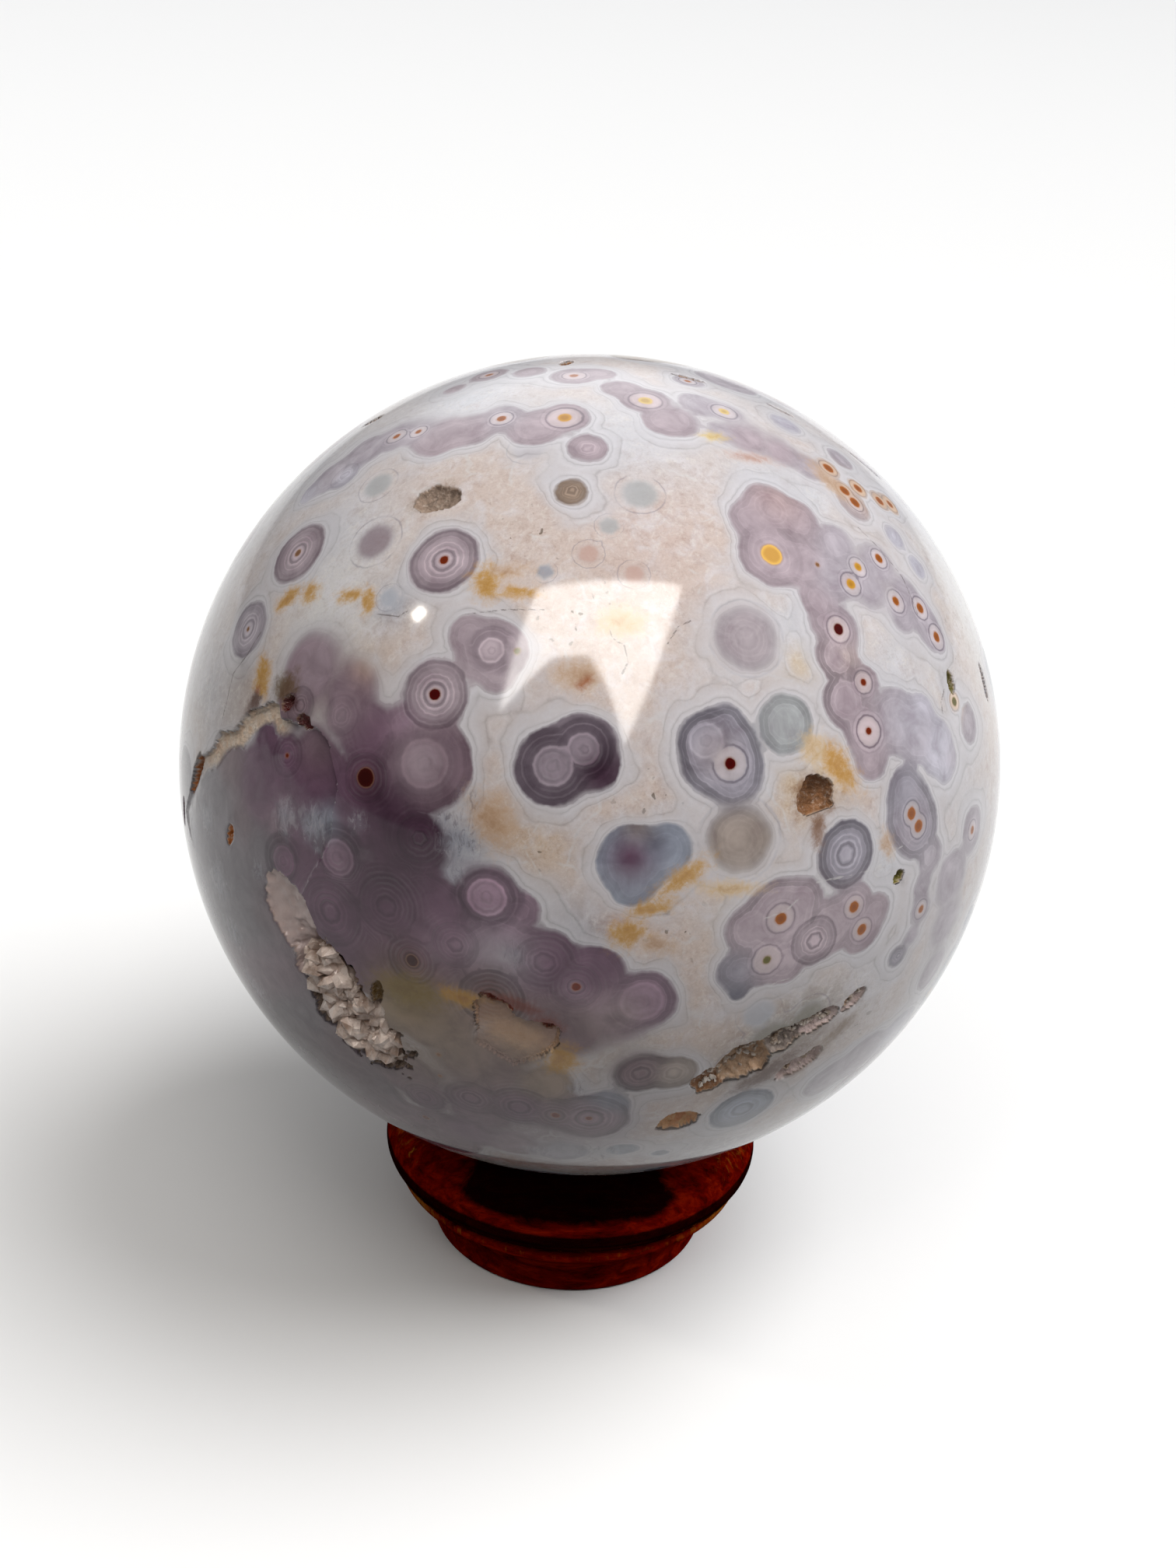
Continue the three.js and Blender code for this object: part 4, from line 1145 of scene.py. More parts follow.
# The polished stone's own look, under and between the marks. Colours here are linear.
polish = {
    "ior": 1.54,
    "specular": 0.28,
    "roughness": 0.06,
    "brokenRoughness": 0.45,    # more where the stone is broken
    "haloReach": 1.1,           # mm, and wider by places
    "bodyEdge": 0.1,            # mm over which a body fades, and wider where it is hazy
    "finestRings": 0.38,        # mm from ring to ring
    "ringTones": [(0.0, (0.36, 0.32, 0.36)), (0.5, (1, 1, 1)), (1.0, (1.95, 1.9, 1.9))],
    "specks": (0.11, 0.08, 0.05),
    "seams": (0.62, 0.6, 0.6),
    "milk": (0.28, 0.29, 0.335),
    "paleStreaks": (0.42, 0.4, 0.43),
    "darkStreaks": (0.1, 0.075, 0.095),
    "healed": (0.6, 0.58, 0.57),
    "cracks": (0.1, 0.08, 0.07),
}

# How light each ring is, from the middle of an orb or the edge of a body outwards; 0.5 changes nothing
ringings = {
    "target": [
        (0.0, 0.7), (0.2, 0.7), (0.26, 0.5), (0.3, 0.2), (0.35, 0.25), (0.39, 0.72), (0.43, 0.62),
        (0.47, 0.42), (0.53, 0.45), (0.56, 0.7), (0.6, 0.44), (0.7, 0.4), (0.8, 0.34), (0.84, 0.42),
        (0.88, 0.24), (0.96, 0.2), (1.01, 0.42), (1.06, 0.52),
    ],
    "disc": [
        (0.0, 0.7), (0.3, 0.76), (0.42, 0.66), (0.46, 0.55), (0.49, 0.1), (0.52, 0.15), (0.55, 0.55),
        (0.62, 0.58), (0.66, 0.4), (0.7, 0.5),
    ],
    "pool": [
        (0.0, 0.68), (0.1, 0.62), (0.13, 0.5), (0.17, 0.64), (0.26, 0.58), (0.3, 0.48), (0.33, 0.58),
        (0.36, 0.74), (0.385, 0.62), (0.41, 0.2), (0.46, 0.08), (0.56, 0.06), (0.6, 0.3), (0.63, 0.1),
        (0.72, 0.14), (0.78, 0.45), (0.86, 0.5),
    ],
    "halo": [
        (0.0, 0.45), (0.02, 0.32), (0.05, 0.66), (0.09, 0.6), (0.13, 0.5), (0.15, 0.32), (0.17, 0.5),
        (0.22, 0.62), (0.32, 0.55), (0.4, 0.5), (0.43, 0.44), (0.46, 0.22), (0.49, 0.42), (0.53, 0.6),
        (0.62, 0.5),
    ],
    "inward": [
        (0.0, 0.5), (0.03, 0.3), (0.07, 0.12), (0.16, 0.12), (0.19, 0.36), (0.22, 0.12), (0.34, 0.2),
        (0.38, 0.7), (0.41, 0.5), (0.5, 0.58), (0.54, 0.72), (0.58, 0.55), (0.8, 0.6), (1.0, 0.5),
    ],
}


class Jasper(Finish):
    def __init__(self):
        super().__init__("polishedJasper")
        self.place = self.places()
        drift = self.grain(self.place, 0.35, 2) - 0.5
        self.shiver = self.grain(self.place, 1.7, 3) - 0.5
        self.body = self.field("bodyReach") + drift * 0.7 + self.shiver * 0.2
        self.ring = self.field("ringShare") + drift * 0.16 + self.shiver * 0.08
        self.ringReach = self.field("ringReach") + drift * 0.4 + self.shiver * 0.16
        self.core = self.field("coreReach") + self.shiver * 0.16
        self.smoke = self.field("smokeShare") + drift * 0.14 + self.shiver * 0.08
        self.haze = self.field("haze")
        self.veil = self.grain(self.place, 0.45, 2)
        self.smoky = self.grain(self.place, 0.9, 5, 0.65, 0.5)
        self.fine = self.grain(self.place, 6, 3, 0.7)

    def matrix(self):
        # cloudy cream and blue-white stone with a crystalline grain
        clouds = self.grain(self.place, 0.5, 6, 0.65, 0.8)
        pale = self.tinted(self.field("haloTone", True), 1.35)
        colour = self.mix(self.step(clouds, 0.42, 0.72) * 0.55, self.field("stoneTone", True), pale)
        colour = self.shaded(self.step(self.smoky, 0.48, 0.7) * 0.5, colour, (0.76, 0.68, 0.65))
        flecks = self.grain(self.place, 2.1, 5, 0.7, 0.7)
        colour = self.mix(self.step(flecks, 0.52, 0.64) * 0.35, colour, (0.72, 0.68, 0.64))
        colour = self.shaded(self.step(flecks, 0.46, 0.34) * 0.35, colour, (0.76, 0.68, 0.64))
        sugar = self.ramp(self.fine, [(0.3, 0.55), (0.5, 0.95), (0.7, 1.0)])
        colour = self.mix(0.25, colour, sugar, "MULTIPLY")
        grain = self.field("grain")
        bent = self.warped(self.place, 1.4, 0.9)
        specks = self.step(self.cells(bent, 1.7) + self.cells(bent, 1.7, out=1) * 0.9, 0.46, 0.34) * grain
        colour = self.mix(specks * 0.8, colour, polish["specks"])
        granular = self.step(self.grain(self.place, 3.2, 4, 0.7), 0.48, 0.66) * (grain * 0.8 + 0.15)
        colour = self.shaded(granular * 0.4, colour, (0.7, 0.6, 0.54))
        seam = self.cells(self.warped(self.place, 0.4, 2.2), 0.2, "DISTANCE_TO_EDGE")
        seam = self.step(seam, 0.03, 0.005) * self.step(self.veil, 0.5, 0.62)
        return self.mix(seam * 0.5, colour, polish["seams"])

    def withSmokes(self, colour):
        # soft smoky discs with one fine outline
        paling = self.ramp(self.smoke, [(0.0, 0.0), (0.5, 0.1), (0.8, 0.5)])
        look = self.mix(paling, self.field("smokeTone", True), (0.56, 0.56, 0.58))
        colour = self.mix(self.step(self.smoke, 0.9, 0.5) * 0.8, colour, look)
        outline = self.step(self.smoke, 0.93, 0.98) * self.step(self.smoke, 1.04, 0.99)
        return self.mix(outline * self.step(self.veil, 0.3, 0.55) * 0.45, colour, (0.22, 0.2, 0.24))

    def withHalos(self, colour):
        # blue-grey chalcedony round each body, lined in white and grey
        lined = (self.step(self.veil, 0.28, 0.6) * 0.7 + 0.3) * (1 - self.haze * 0.75)
        widening = self.step(self.grain(self.place, 0.2, 2), 0.34, 0.66) * 2.0
        reach = self.body / (widening + polish["haloReach"])
        lines = self.ramp(reach, ringings["halo"])
        look = self.tinted(self.field("haloTone", True), 1 + (lines - 0.5) * 1.3 * lined)
        halo = self.ramp(reach, [(0.0, 0.92), (0.3, 0.75), (0.5, 0.55), (0.7, 0.25), (1.0, 0.0)])
        return self.mix(halo * (0.95 - self.haze * 0.3), colour, look)

    def stain(self, colour):
        # how strong the iron stains are, their own tone, and their look over a colour
        ragged = self.grain(self.place, 0.8, 5, 0.7, 0.8) - 0.5
        ragged = ragged + (self.grain(self.place, 2.6, 4, 0.7, 0.4) - 0.5) * 0.8
        edge = self.field("stain") + ragged
        stained = self.step(edge, 0.1, 0.95) * self.step(self.field("stain"), 0.02, 0.2)
        tone = self.shaded(self.step(edge, 0.7, 1.2) * 0.6, self.field("stainTone", True), (0.6, 0.42, 0.2))
        thin = self.mix(0.45, self.tinted(tone, (1.5, 1.42, 1.1)), colour)
        return stained, tone, self.mix(self.step(edge, 0.8, 0.2) * 0.7, tone, thin)

    def orbShade(self):
        # lightness round each orb: ringed like a target, a pale disc, or a disc in a dark band
        shade = self.ramp(self.ring, ringings["target"])
        shade = self.mix(self.field("discing"), shade, self.ramp(self.ring * 0.5, ringings["disc"]))
        return self.mix(self.field("pooling"), shade, self.ramp(self.ring * 0.4, ringings["pool"]))

    def bodies(self):
        # mauve chalcedony, ringed round each orb and banded along its edge
        look = self.field("bodyTone", True)
        cloud = self.grain(self.place, 0.5, 4, 0.6, 0.5)
        look = self.shaded(self.step(cloud, 0.42, 0.72) * 0.5, look, 1.5)
        look = self.shaded(self.step(cloud, 0.5, 0.28) * 0.5, look, (0.66, 0.58, 0.63))
        ringing = self.field("ringing")
        tuned = self.ramp(self.orbShade(), polish["ringTones"])
        look = self.shaded(ringing * 0.9, look, tuned)
        beige = self.field("discing") * self.step(self.ring, 0.96, 0.84)
        look = self.mix(beige * 0.28, look, (0.52, 0.45, 0.41))
        wave = self.maths("SINE", self.ringReach * (2 * math.pi / polish["finestRings"]))
        rings = self.step(wave, -0.4, 1.0) * self.step(self.ring, 1.7, 0.9) * self.step(self.veil, 0.35, 0.65)
        look = self.mix(ringing * rings * 0.09, look, (0.62, 0.58, 0.6))
        inward = self.ramp(self.body * -0.55, ringings["inward"])
        strength = (self.field("banding") + 0.22) * (1 - self.haze * 0.6) * 1.2
        return self.tinted(look, 1 + (inward - 0.5) * strength)

    def withBodies(self, colour, look):
        width = self.haze * 0.9 + self.step(self.veil, 0.35, 0.7) * 0.22 + polish["bodyEdge"]
        colour = self.mix(self.step(self.body / width, 1.0, -1.0), colour, look)
        cloudy = self.field("milk") + (self.grain(self.place, 0.9, 4, 0.6, 0.6) - 0.5) * 0.6
        colour = self.mix(self.step(cloudy, 0.1, 0.75) * 0.75, colour, polish["milk"])
        streak = self.grain(self.stretched(self.place, (0.5, 0.3, 0.9), (2.4, 0.5, 0.9)), 1.0, 5, 0.7, 0.9)
        zone = self.step(self.field("milk"), 0.03, 0.4)
        colour = self.mix(self.step(streak, 0.5, 0.64) * zone * 0.42, colour, polish["paleStreaks"])
        return self.mix(self.step(streak, 0.49, 0.38) * zone * 0.5, colour, polish["darkStreaks"])

    def withCores(self, colour):
        # a dark bead with a warm rim
        tone = self.field("coreTone", True)
        rim = self.mix(0.5, tone, (0.5, 0.26, 0.1))
        colour = self.mix(self.step(self.core, 0.16, 0.0) * 0.5, colour, rim)
        bead = self.shaded(self.step(self.core, -0.02, -0.3) * 0.4, tone, (0.4, 0.22, 0.15))
        return self.mix(self.step(self.core, 0.05, -0.05), colour, bead)

    def withFractures(self, colour):
        parted = self.step(self.grain(self.place, 1.2, 2), 0.42, 0.55)
        healed = self.step(self.field("paleLine") + self.shiver * 0.16, 0.1, 0.03) * parted
        colour = self.mix(healed * 0.5, colour, polish["healed"])
        cracked = self.step(self.field("darkLine") + self.shiver * 0.12, 0.08, 0.03)
        return self.mix(cracked * 0.6, colour, polish["cracks"])

    def withBareStone(self, colour, crumb):
        # broken stone in the pits and along the ledges
        plain = self.field("bareTone", True)
        plain = self.shaded(self.step(self.smoky, 0.4, 0.65) * 0.35, plain, (0.7, 0.6, 0.56))
        facets = self.ramp(self.cells(self.place, 1.9, out=1), [(0.2, 0.3), (0.8, 0.8)])
        gritty = self.mix(0.4, plain, facets, "OVERLAY")
        gritty = self.shaded(self.step(crumb, 0.5, 0.74) * 0.45, gritty, (0.4, 0.28, 0.2))
        gritty = self.mix(self.step(crumb, 0.5, 0.3) * 0.45, gritty, (0.66, 0.56, 0.48))
        # painted shade: the broken stone darker the deeper it lies in a hollow
        gritty = self.shaded(self.step(self.field("sunk"), 0.4, 1.8) * 0.3, gritty, (0.5, 0.4, 0.33))
        opened = self.mix(self.step(self.field("rough"), 0.3, 0.8), plain, gritty)
        return self.mix(self.step(self.field("bare"), 0.15, 0.8), colour, opened)

    def finished(self):
        under = self.withHalos(self.withSmokes(self.matrix()))
        stained, stainTone, stainLook = self.stain(under)
        colour = self.mix(stained * 0.85, under, stainLook)
        look = self.mix(stained * 0.75, self.bodies(), stainTone)
        colour = self.withFractures(self.withCores(self.withBodies(colour, look)))
        crumb = self.grain(self.place, 2.6, 5, 0.75)
        self.give("Base Color", self.withBareStone(colour, crumb))
        rough = self.field("rough")
        broken = self.step(rough, 0.0, 0.8) * polish["brokenRoughness"]
        self.give("Roughness", broken + self.fine * 0.05 + polish["roughness"])
        height = crumb * 0.7 + self.cells(self.place, 3.2) * 0.5
        self.give("Normal", self.bump(height * self.step(rough, 0.15, 0.6), 0.8, 0.0003))
        self.give("IOR", polish["ior"])
        self.give("Specular IOR Level", polish["specular"])
        return self.material


def setFinish(item, material):
    item.data.materials.clear()
    item.data.materials.append(material)


ball = makeBall()
setFinish(ball, Jasper().finished())
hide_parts("jasper_sphere")
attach(ball, "root")
print("ball finished")


# Crystals: six-sided points that Geometry Nodes scatter over a bed. Sizes in mm, colours linear.
crystals = {
    "crustDensity": 2.4,                # in a square mm
    "crustSize": (0.35, 1.0),
    "crustTones": ((0.74, 0.62, 0.55), (0.3, 0.2, 0.15)),
    "bandDensity": 5.0,
    "bandSize": (0.1, 0.3),
    "bandTones": ((0.62, 0.56, 0.5), (0.3, 0.2, 0.13)),
    "iron": (0.3, 0.16, 0.08),
    "flatness": 0.55,
    "tip": (0.25, 0.06, 1.15),
    "lean": 0.7,                        # radians from upright on the bed
    "lumps": (0.1, 0.05),               # how far the crust's bed rises, widely and finely
    "seed": 5,
}


def crystalShape():
    shape = bmesh.new()
    turns = [i * math.tau / 6 for i in range(6)]
    around = [(math.cos(turn), crystals["flatness"] * math.sin(turn)) for turn in turns]
    low = [shape.verts.new((0.9 * x, 0.9 * y, -0.6)) for x, y in around]
    high = [shape.verts.new((x, y, 0.5)) for x, y in around]
    tip = shape.verts.new(crystals["tip"])
    for i in range(6):
        j = (i + 1) % 6
        shape.faces.new((low[i], low[j], high[j], high[i]))
        shape.faces.new((high[i], high[j], tip))
    shape.faces.new(low[::-1])
    return bpy.data.objects.new("crystalPoint", meshFrom(shape, "crystalPoint"))


def crystalTree(name, keepBed):
    tree = bpy.data.node_groups.new(name, "GeometryNodeTree")
    tree.interface.new_socket("Geometry", in_out="OUTPUT", socket_type="NodeSocketGeometry")
    tree.interface.new_socket("Bed", in_out="INPUT", socket_type="NodeSocketGeometry")
    kinds = {
        "Crystal": "Object", "Density": "Float", "Smallest": "Float", "Largest": "Float", "Seed": "Int",
        "Finish": "Material",
    }
    sockets = {}
    for label, kind in kinds.items():
        socket = tree.interface.new_socket(label, in_out="INPUT", socket_type="NodeSocket" + kind)
        sockets[label] = socket.identifier
    g = Nodes(tree)
    bed = g.node("NodeGroupInput", out="Bed")
    seed = bed.beside("Seed")
    grown = g.node("GeometryNodeInputNamedAttribute", {"data_type": "FLOAT"}, {"Name": "grown"}, "Attribute")
    points = g.node("GeometryNodeDistributePointsOnFaces", None, {
        "Mesh": bed, "Density": grown * bed.beside("Density"), "Seed": seed,
    }, "Points")
    lean = g.node("FunctionNodeRandomValue", {"data_type": "FLOAT_VECTOR"}, {
        0: (-crystals["lean"], -crystals["lean"], 0.0), 1: (crystals["lean"], crystals["lean"], 6.3),
        "Seed": seed,
    })
    leaning = g.node("FunctionNodeRotateRotation", {"rotation_space": "LOCAL"}, {
        "Rotation": points.beside("Rotation"), "Rotate By": lean,
    })
    size = g.node("FunctionNodeRandomValue", {"data_type": "FLOAT"}, {
        2: bed.beside("Smallest"), 3: bed.beside("Largest"), "Seed": seed,
    }, 1)
    shape = g.node("GeometryNodeObjectInfo", None, {"Object": bed.beside("Crystal")}, "Geometry")
    placed = g.node("GeometryNodeInstanceOnPoints", None, {
        "Points": points, "Instance": shape, "Rotation": leaning, "Scale": size,
    })
    real = g.node("GeometryNodeRealizeInstances", None, {"Geometry": placed})
    if keepBed:
        real = g.node("GeometryNodeJoinGeometry", None, {0: [bed, real]})
    finished = g.node("GeometryNodeSetMaterial", None, {"Geometry": real, "Material": bed.beside("Finish")})
    g.feed(tree.nodes.new("NodeGroupOutput").inputs["Geometry"], finished)
    return tree, sockets


def growCrystals(name, bed, keepBed, density, sizes, material):
    tree, sockets = crystalTree(name + "Tree", keepBed)
    growth = bed.modifiers.new("crystals", "NODES")
    growth.node_group = tree
    crystal = crystalShape()
    values = {
        "Crystal": crystal, "Density": density / mm ** 2, "Smallest": sizes[0] * mm,
        "Largest": sizes[1] * mm, "Seed": crystals["seed"], "Finish": material,
    }
    for label, value in values.items():
        growth[sockets[label]] = value
    seen = bed.evaluated_get(bpy.context.evaluated_depsgraph_get())
    mesh = bpy.data.meshes.new_from_object(seen)
    mesh.name = name
    bed.modifiers.remove(growth)
    bpy.data.objects.remove(crystal)
    item = addObject(name, mesh)
    setFinish(item, material)
    return item


def druseFinish(name, pale, dark):
    f = Finish(name)
    place = f.places()
    facets = f.ramp(f.cells(place, 1.3, out=1), [(0.2, 0.25), (0.8, 0.75)])
    colour = f.mix(f.step(f.grain(place, 0.8, 4, 0.6), 0.35, 0.68), pale, dark)
    colour = f.mix(0.25, colour, facets, "SOFT_LIGHT")
    colour = f.mix(f.step(f.grain(place, 3.4, 4, 0.7), 0.55, 0.75) * 0.5, colour, crystals["iron"])
    f.give("Base Color", colour)
    f.give("Roughness", f.grain(place, 2, 2) * 0.3 + 0.16)
    f.give("Normal", f.bump(f.grain(place, 5, 4, 0.7), 0.35, 0.00015))
    f.give("IOR", polish["ior"])
    return f.material


def makeCrust():
    # the bed follows the frame's own crust, divided and roughened, with crystals over it
    shape = bmesh.new()
    shape.from_mesh(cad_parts["vug_crystals"].data)
    bmesh.ops.remove_doubles(shape, verts=shape.verts[:], dist=1e-6)
    bmesh.ops.triangulate(shape, faces=shape.faces[:])
    bmesh.ops.subdivide_edges(shape, edges=shape.edges[:], cuts=2, use_grid_fill=True)
    bmesh.ops.triangulate(shape, faces=shape.faces[:])
    shape.normal_update()
    wide, fine = crystals["lumps"]
    for vertex in shape.verts:
        place = vertex.co / mm
        lift = wide * noise.noise(place * 1.4) + fine * noise.noise(place * 3.7)
        vertex.co += vertex.normal * lift * mm
    mesh = meshFrom(shape, "crustBed")
    outwards = units(placesIn(mesh) / mm - ballCentre)
    facing = (normalsIn(mesh) * outwards).sum(1)
    addField(mesh, "grown", (facing > 0.25).astype(float))
    bed = addObject("crustBed", mesh)
    finish = druseFinish("crustDruse", *crystals["crustTones"])
    crust = growCrystals("vugCrust", bed, True, crystals["crustDensity"], crystals["crustSize"], finish)
    bpy.data.objects.remove(bed)
    return crust


def makeBandCrystals():
    # small crystals on the floors of the druzy band and of the hollow at the back
    directions = units(placesIn(ball.data) / mm - ballCentre)
    grown = np.zeros(len(directions))
    for name, hollow in hollows.items():
        if name.startswith("druzy") or name == "backVug":
            near, reach = hollowReach(directions, hollow)
            grown[near] = np.maximum(grown[near], reach < 0.72)
    addField(ball.data, "grown", grown)
    finish = druseFinish("bandDruse", *crystals["bandTones"])
    return growCrystals("bandCrystals", ball, False, crystals["bandDensity"], crystals["bandSize"], finish)


crust = makeCrust()
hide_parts("vug_crystals")
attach(crust, "root")
band = makeBandCrystals()
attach(band, "root")
print("crystals grown:", len(crust.data.polygons), "and", len(band.data.polygons), "faces")


# The stand: one turned ring. Radii and heights in mm, from the floor up, and colours linear.
turning = {
    "sides": 240,
    "corner": 0.28,                     # how far back each inner corner is rounded
    "profile": [
        (0.0, 0.0), (11.45, 0.0), (11.75, 0.3), (11.75, 2.3), (11.95, 2.9), (12.3, 3.5), (13.4, 4.6),
        (14.6, 5.4), (14.9, 5.7), (14.9, 6.3), (14.6, 6.6), (14.2, 6.8), (14.15, 7.1), (15.3, 7.25),
    ],
    "crest": (10.6, 15.92, 8.2, 12.42),     # the bead: inner and outer radius, middle and top
    "crestArc": (-18, 108, 18),             # degrees where it begins and that it turns, and steps
    "undercut": 2.6,
    "seat": 9.8,
    "seatGap": 0.3,
    "seatSteps": 12,
    # painted highlights along these edges: radius and height
    "paintedHighlightEdges": [(14.9, 6.1), (15.5, 7.6)],
    # bands of painted shade along the groove and the bead
    "paintedShadeBands": [(7.35, 0.95), (8.4, 0.62)],       # height and half width of each
    "lacquer": [(0.3, (0.03, 0.0005, 0.0002)), (0.5, (0.16, 0.002, 0.0003)), (0.7, (0.34, 0.014, 0.001))],
    "pores": (0.01, 0.0005, 0.0002),
    # the colour of the painted shade on the bead's top
    "paintedShadeTone": (0.002, 0.0004, 0.0003),
    # the colour of the painted shade in those bands
    "paintedShadeBandTone": (0.003, 0.0004, 0.0003),
    # the colours of the painted highlights
    "paintedHighlightTones": ((0.3, 0.05, 0.003), (0.42, 0.17, 0.02)),
}


def roundedProfile(points, corner):
    # each inner corner is replaced by a short curve
    smooth = [points[0]]
    for before, here, after in zip(points, points[1:], points[2:]):
        here, before, after = np.array(here), np.array(before), np.array(after)
        back, ahead = before - here, after - here
        reach = min(corner, np.linalg.norm(back) / 2.2, np.linalg.norm(ahead) / 2.2)
        first = here + unit(back) * reach
        last = here + unit(ahead) * reach
        for share in (0, 0.33, 0.67, 1):
            bend = (1 - share) ** 2 * first + 2 * share * (1 - share) * here + share ** 2 * last
            smooth.append(tuple(bend))
    smooth.append(points[-1])
    return smooth


def standOutline():
    inner, outer, middle, top = turning["crest"]
    outline = roundedProfile(turning["profile"], turning["corner"])
    begin, turn, count = turning["crestArc"]
    for i in range(count + 1):
        angle = math.radians(begin + turn * i / count)
        rise = (top - middle if angle > 0 else turning["undercut"]) * math.sin(angle)
        outline.append((inner + (outer - inner) * math.cos(angle), middle + rise))
    seat = ballRadius + turning["seatGap"]
    for i in range(1, turning["seatSteps"] + 1):
        share = i / turning["seatSteps"]
        radius = turning["seat"] * (1 - share)
        outline.append((radius, ballCentre[2] - math.sqrt(seat ** 2 - radius ** 2) - 0.3 * share))
    return outline


def makeStand():
    shape = bmesh.new()
    rings = []
    for radius, height in standOutline():
        count = 1 if radius < 1e-6 else turning["sides"]
        ring = []
        for i in range(count):
            angle = math.tau * i / count
            place = Vector((radius * math.cos(angle), radius * math.sin(angle), height)) * mm
            ring.append(shape.verts.new(place))
        rings.append(ring)
    for low, high in zip(rings, rings[1:]):
        for i in range(turning["sides"]):
            j = (i + 1) % turning["sides"]
            if len(low) == 1:
                shape.faces.new((low[0], high[j], high[i]))
            elif len(high) == 1:
                shape.faces.new((low[i], low[j], high[0]))
            else:
                shape.faces.new((low[i], low[j], high[j], high[i]))
    bmesh.ops.recalc_face_normals(shape, faces=shape.faces[:])
    mesh = meshFrom(shape, "turnedStand")
    mesh.polygons.foreach_set("use_smooth", [True] * len(mesh.polygons))
    return addObject("turnedStand", mesh)


def wearStand(mesh):
    # painted shade over the bead's top at its front and back, under the ball; painted highlights on its sides
    # and edges
    across, along, height = (placesIn(mesh) / mm).T
    radius = np.hypot(across, along)
    aside = np.abs(across) / np.maximum(radius, 1)
    _, outer, middle, _ = turning["crest"]
    crest = smoothStep(0.5, 3.5, height - middle + (outer - radius) * 0.6)
    addField(mesh, "dark", crest * (1 - smoothStep(0.45, 0.72, aside)))
    # painted highlights along the edges and on the bead's lit sides
    edges = np.zeros(len(radius))
    for edgeRadius, edgeHeight in turning["paintedHighlightEdges"]:
        away = (radius - edgeRadius) ** 2 + (height - edgeHeight) ** 2
        edges = np.maximum(edges, np.exp(-away / 0.35))
    edges = edges * (0.5 + 0.4 * smoothStep(0.5, 0.9, aside))
    sides = smoothStep(0, 2, height - middle) * smoothStep(0.55, 0.95, aside) * 0.55
    addField(mesh, "worn", np.maximum(edges, sides))


def woodFinish():
    f = Finish("lacqueredWood")
    place = f.places()
    along = f.stretched(place, (0.2, 0.1, 0.3), (0.16, 1.0, 1.0))
    pores = f.grain(along, 7, 3, 0.7)
    colour = f.ramp(f.grain(along, 1.1, 6, 0.65, 0.5), turning["lacquer"])
    colour = f.mix(f.step(pores, 0.5, 0.7) * 0.5, colour, turning["pores"])
    patches = f.grain(place, 0.55, 5, 0.7, 1.0)
    # painted shade on the bead's top, at its front and its back, under the ball
    dark = f.step(f.field("dark") + (patches - 0.5) * 0.7, 0.3, 0.7)
    colour = f.mix(dark * 0.95, colour, turning["paintedShadeTone"])
    height = f.node("ShaderNodeSeparateXYZ", None, {"Vector": place}, "Z") + (patches - 0.5) * 0.3
    # painted shade in bands along the groove and the bead
    for level, half in turning["paintedShadeBands"]:
        inShadeBand = f.step(f.maths("ABSOLUTE", height - level), half, half * 0.6)
        colour = f.mix(inShadeBand * 0.92, colour, turning["paintedShadeBandTone"])
    # painted highlights, broken into streaks
    streaks = f.grain(f.stretched(place, (0, 0, 0), (1.6, 1.6, 0.35)), 1.3, 5, 0.75, 0.6)
    worn = f.step(f.field("worn") + (streaks - 0.5) * 1.5, 0.5, 0.85)
    colour = f.mix(worn * 0.75, colour, f.mix(f.step(patches, 0.4, 0.65), *turning["paintedHighlightTones"]))
    f.give("Base Color", colour)
    f.give("Roughness", pores * 0.15 + 0.24)
    f.give("Normal", f.bump(pores, 0.12, 0.0001))
    f.give("Specular IOR Level", 0.0)
    return f.material


stand = makeStand()
wearStand(stand.data)
setFinish(stand, woodFinish())
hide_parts("ring_stand")
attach(stand, "root")
print("stand turned")


# Studio: a plain pale floor, a soft light from the right, a pale window in front and a bright room behind
studio = {
    "floorSize": 40,                    # m
    "floorTone": (0.86, 0.86, 0.86),
    "floorBounce": (0.2, 0.2, 0.2),     # its colour in the light that it throws up
    "windowPixels": [
        (692, 757), (877, 753), (840, 870), (803, 958), (780, 880), (757, 842), (710, 845), (642, 915),
    ],
    "windowDistance": 2500,             # mm
    "windowTone": (1, 0.965, 0.92),
    "windowStrength": 4.0,
    "windowGleam": 14.0,                # its extra strength in the polish
    "sparkPixel": (545, 795),
    "sparkStrength": 110,
    "sparkDistance": 0.5,               # m, as its size
    "sparkSize": 0.022,
    "sparkTone": (1, 0.93, 0.82),
    "keyTowards": (0.52, -0.08, 0.85),
    "keyAngle": 42,
    "keyStrength": 2.7,
    "roomTone": (0.95, 0.97, 1),
    "roomSlope": (0.15, 0.85, 0.3),     # the way in which the room brightens, from where and to where
    "roomSpan": (-0.8, 0.9),
    "roomDim": 0.02,
    "roomBright": 0.37,
    "backdrop": 0.8,                    # behind the piece, whatever lights it
    "glowPixel": (745, 512),
    "glowSpan": (0.86, 1.0),
    "glow": 1.7,                        # a soft glow that only the polish shows
}


def reflectedAt(x, y):
    normal = onBall(x, y)[0]
    ray = rayThrough(x, y)
    return normal * ballRadius, ray - 2 * (ray @ normal) * normal


def makeFloor():
    shape = bmesh.new()
    bmesh.ops.create_grid(shape, x_segments=1, y_segments=1, size=studio["floorSize"] / 2)
    floor = addObject("floor", meshFrom(shape, "floor"))
    floor.location.z = standLow.z - 0.00002
    f = Finish("paleFloor")
    bounce = f.node("ShaderNodeLightPath", out="Is Diffuse Ray")
    f.give("Base Color", f.mix(bounce, studio["floorTone"], studio["floorBounce"]))
    f.give("Roughness", 0.8)
    f.give("Specular IOR Level", 0.1)
    setFinish(floor, f.material)


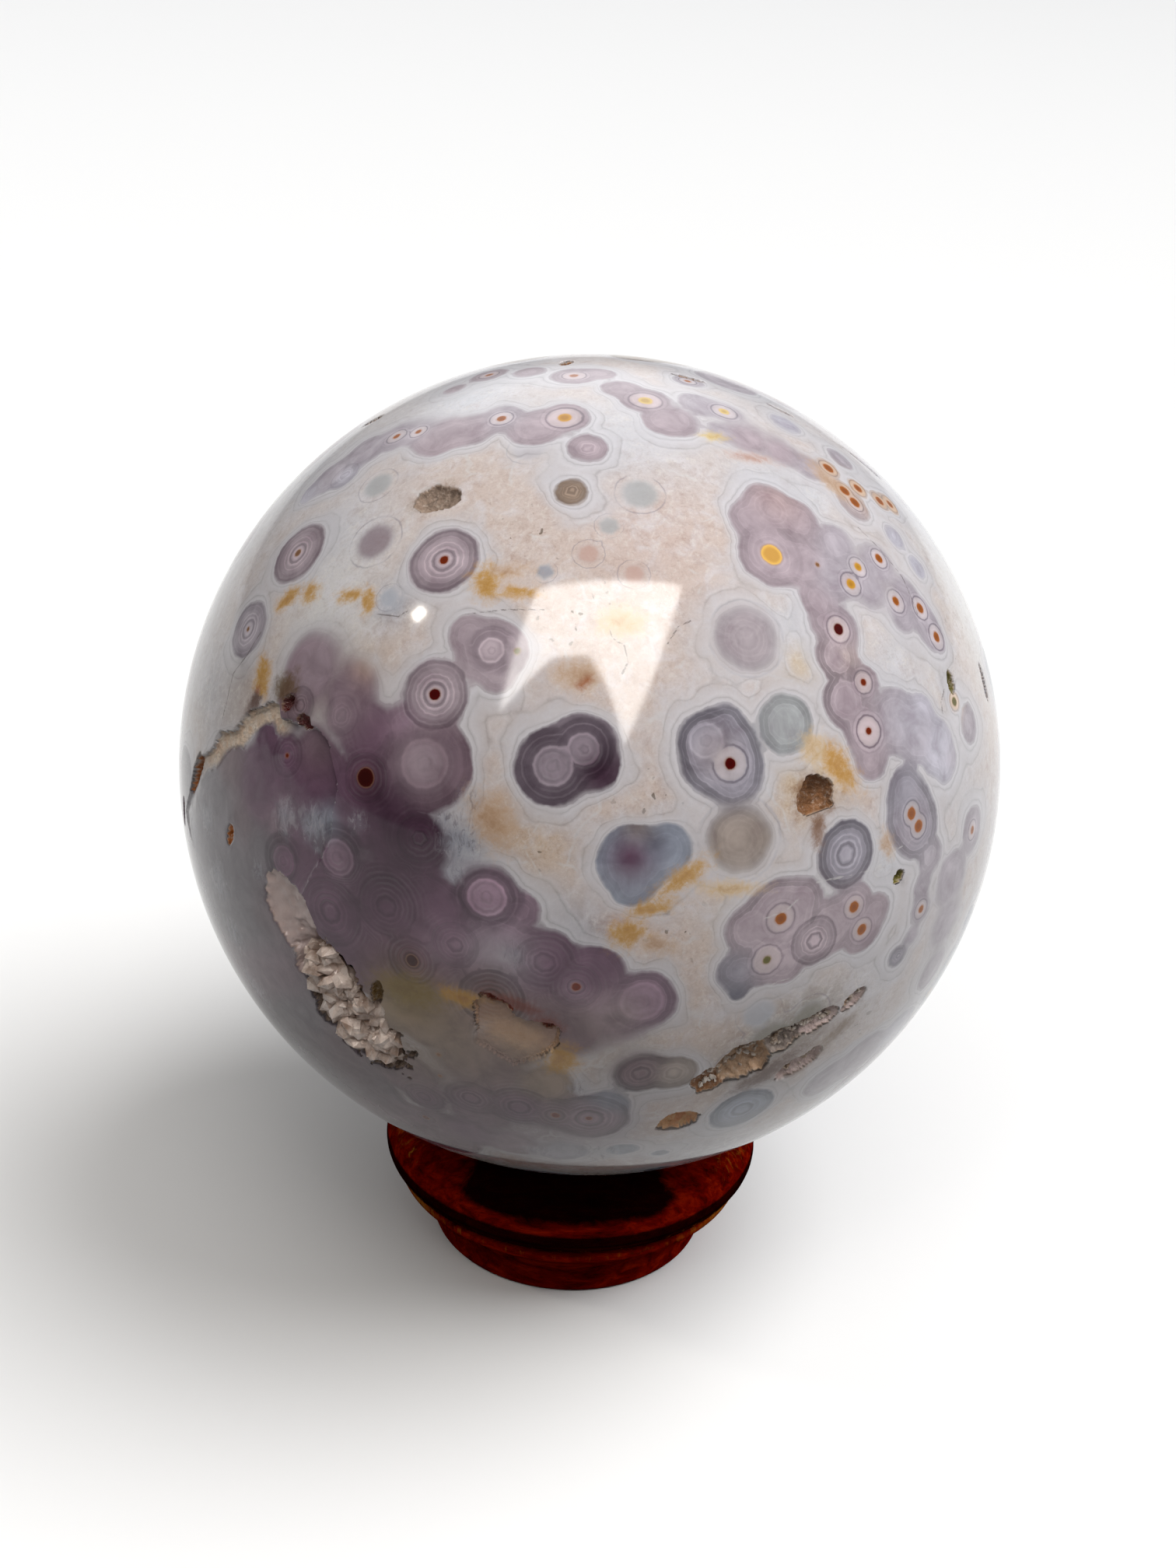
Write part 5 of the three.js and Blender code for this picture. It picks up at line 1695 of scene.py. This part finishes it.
def makeWindow():
    corners = []
    for x, y in studio["windowPixels"]:
        spot, away = reflectedAt(x, y)
        corners.append((spot + away * studio["windowDistance"] + ballCentre) * mm)
    mesh = bpy.data.meshes.new("windowLight")
    mesh.from_pydata([tuple(corner) for corner in corners], [], [tuple(range(len(corners)))])
    window = addObject("windowLight", mesh)
    window.visible_camera = False
    f = Finish("windowGlow")
    gleam = f.node("ShaderNodeLightPath", out="Is Glossy Ray")
    f.give("Base Color", (0, 0, 0))
    f.give("Emission Color", studio["windowTone"])
    f.give("Emission Strength", gleam * studio["windowGleam"] + studio["windowStrength"])
    setFinish(window, f.material)


def addLight(name, kind, towards):
    direction = Vector(towards).normalized()
    light = bpy.data.objects.new(name, bpy.data.lights.new(name, kind))
    light.location = Vector(ballCentre * mm) + direction * studio["sparkDistance"]
    light.rotation_euler = direction.to_track_quat("Z", "Y").to_euler()
    bpy.context.scene.collection.objects.link(light)
    return light


def makeLights():
    key = addLight("keyRight", "SUN", studio["keyTowards"])
    key.data.energy = studio["keyStrength"]
    key.data.angle = math.radians(studio["keyAngle"])
    key.visible_glossy = False
    spark = addLight("spark", "AREA", reflectedAt(*studio["sparkPixel"])[1])
    spark.data.size = studio["sparkSize"]
    spark.data.energy = studio["sparkStrength"] * math.pi * studio["sparkSize"] ** 2
    spark.data.color = studio["sparkTone"]


def makeRoom():
    world = bpy.data.worlds.new("room")
    world.use_nodes = True
    bpy.context.scene.world = world
    sky = Nodes(world.node_tree)
    way = sky.node("ShaderNodeTexCoord", out="Generated")
    slope = sky.vectorMaths("DOT_PRODUCT", way, studio["roomSlope"], out=1)
    room = sky.between(slope, *studio["roomSpan"], studio["roomDim"], studio["roomBright"])
    gleam = tuple(reflectedAt(*studio["glowPixel"])[1])
    glow = sky.vectorMaths("DOT_PRODUCT", way, gleam, out=1)
    glow = sky.between(glow, *studio["glowSpan"], 0.0, studio["glow"], "SMOOTHSTEP")
    rays = sky.node("ShaderNodeLightPath", out="Is Glossy Ray")
    shown = sky.between(rays.beside("Is Camera Ray"), 0.0, 1.0, glow * rays + room, studio["backdrop"])
    background = sky.tree.nodes["Background"]
    sky.feed(background.inputs["Strength"], shown)
    sky.feed(background.inputs["Color"], studio["roomTone"])


makeFloor()
makeWindow()
makeLights()
makeRoom()
bpy.context.scene.view_settings.view_transform = "Standard"
print("studio lit")
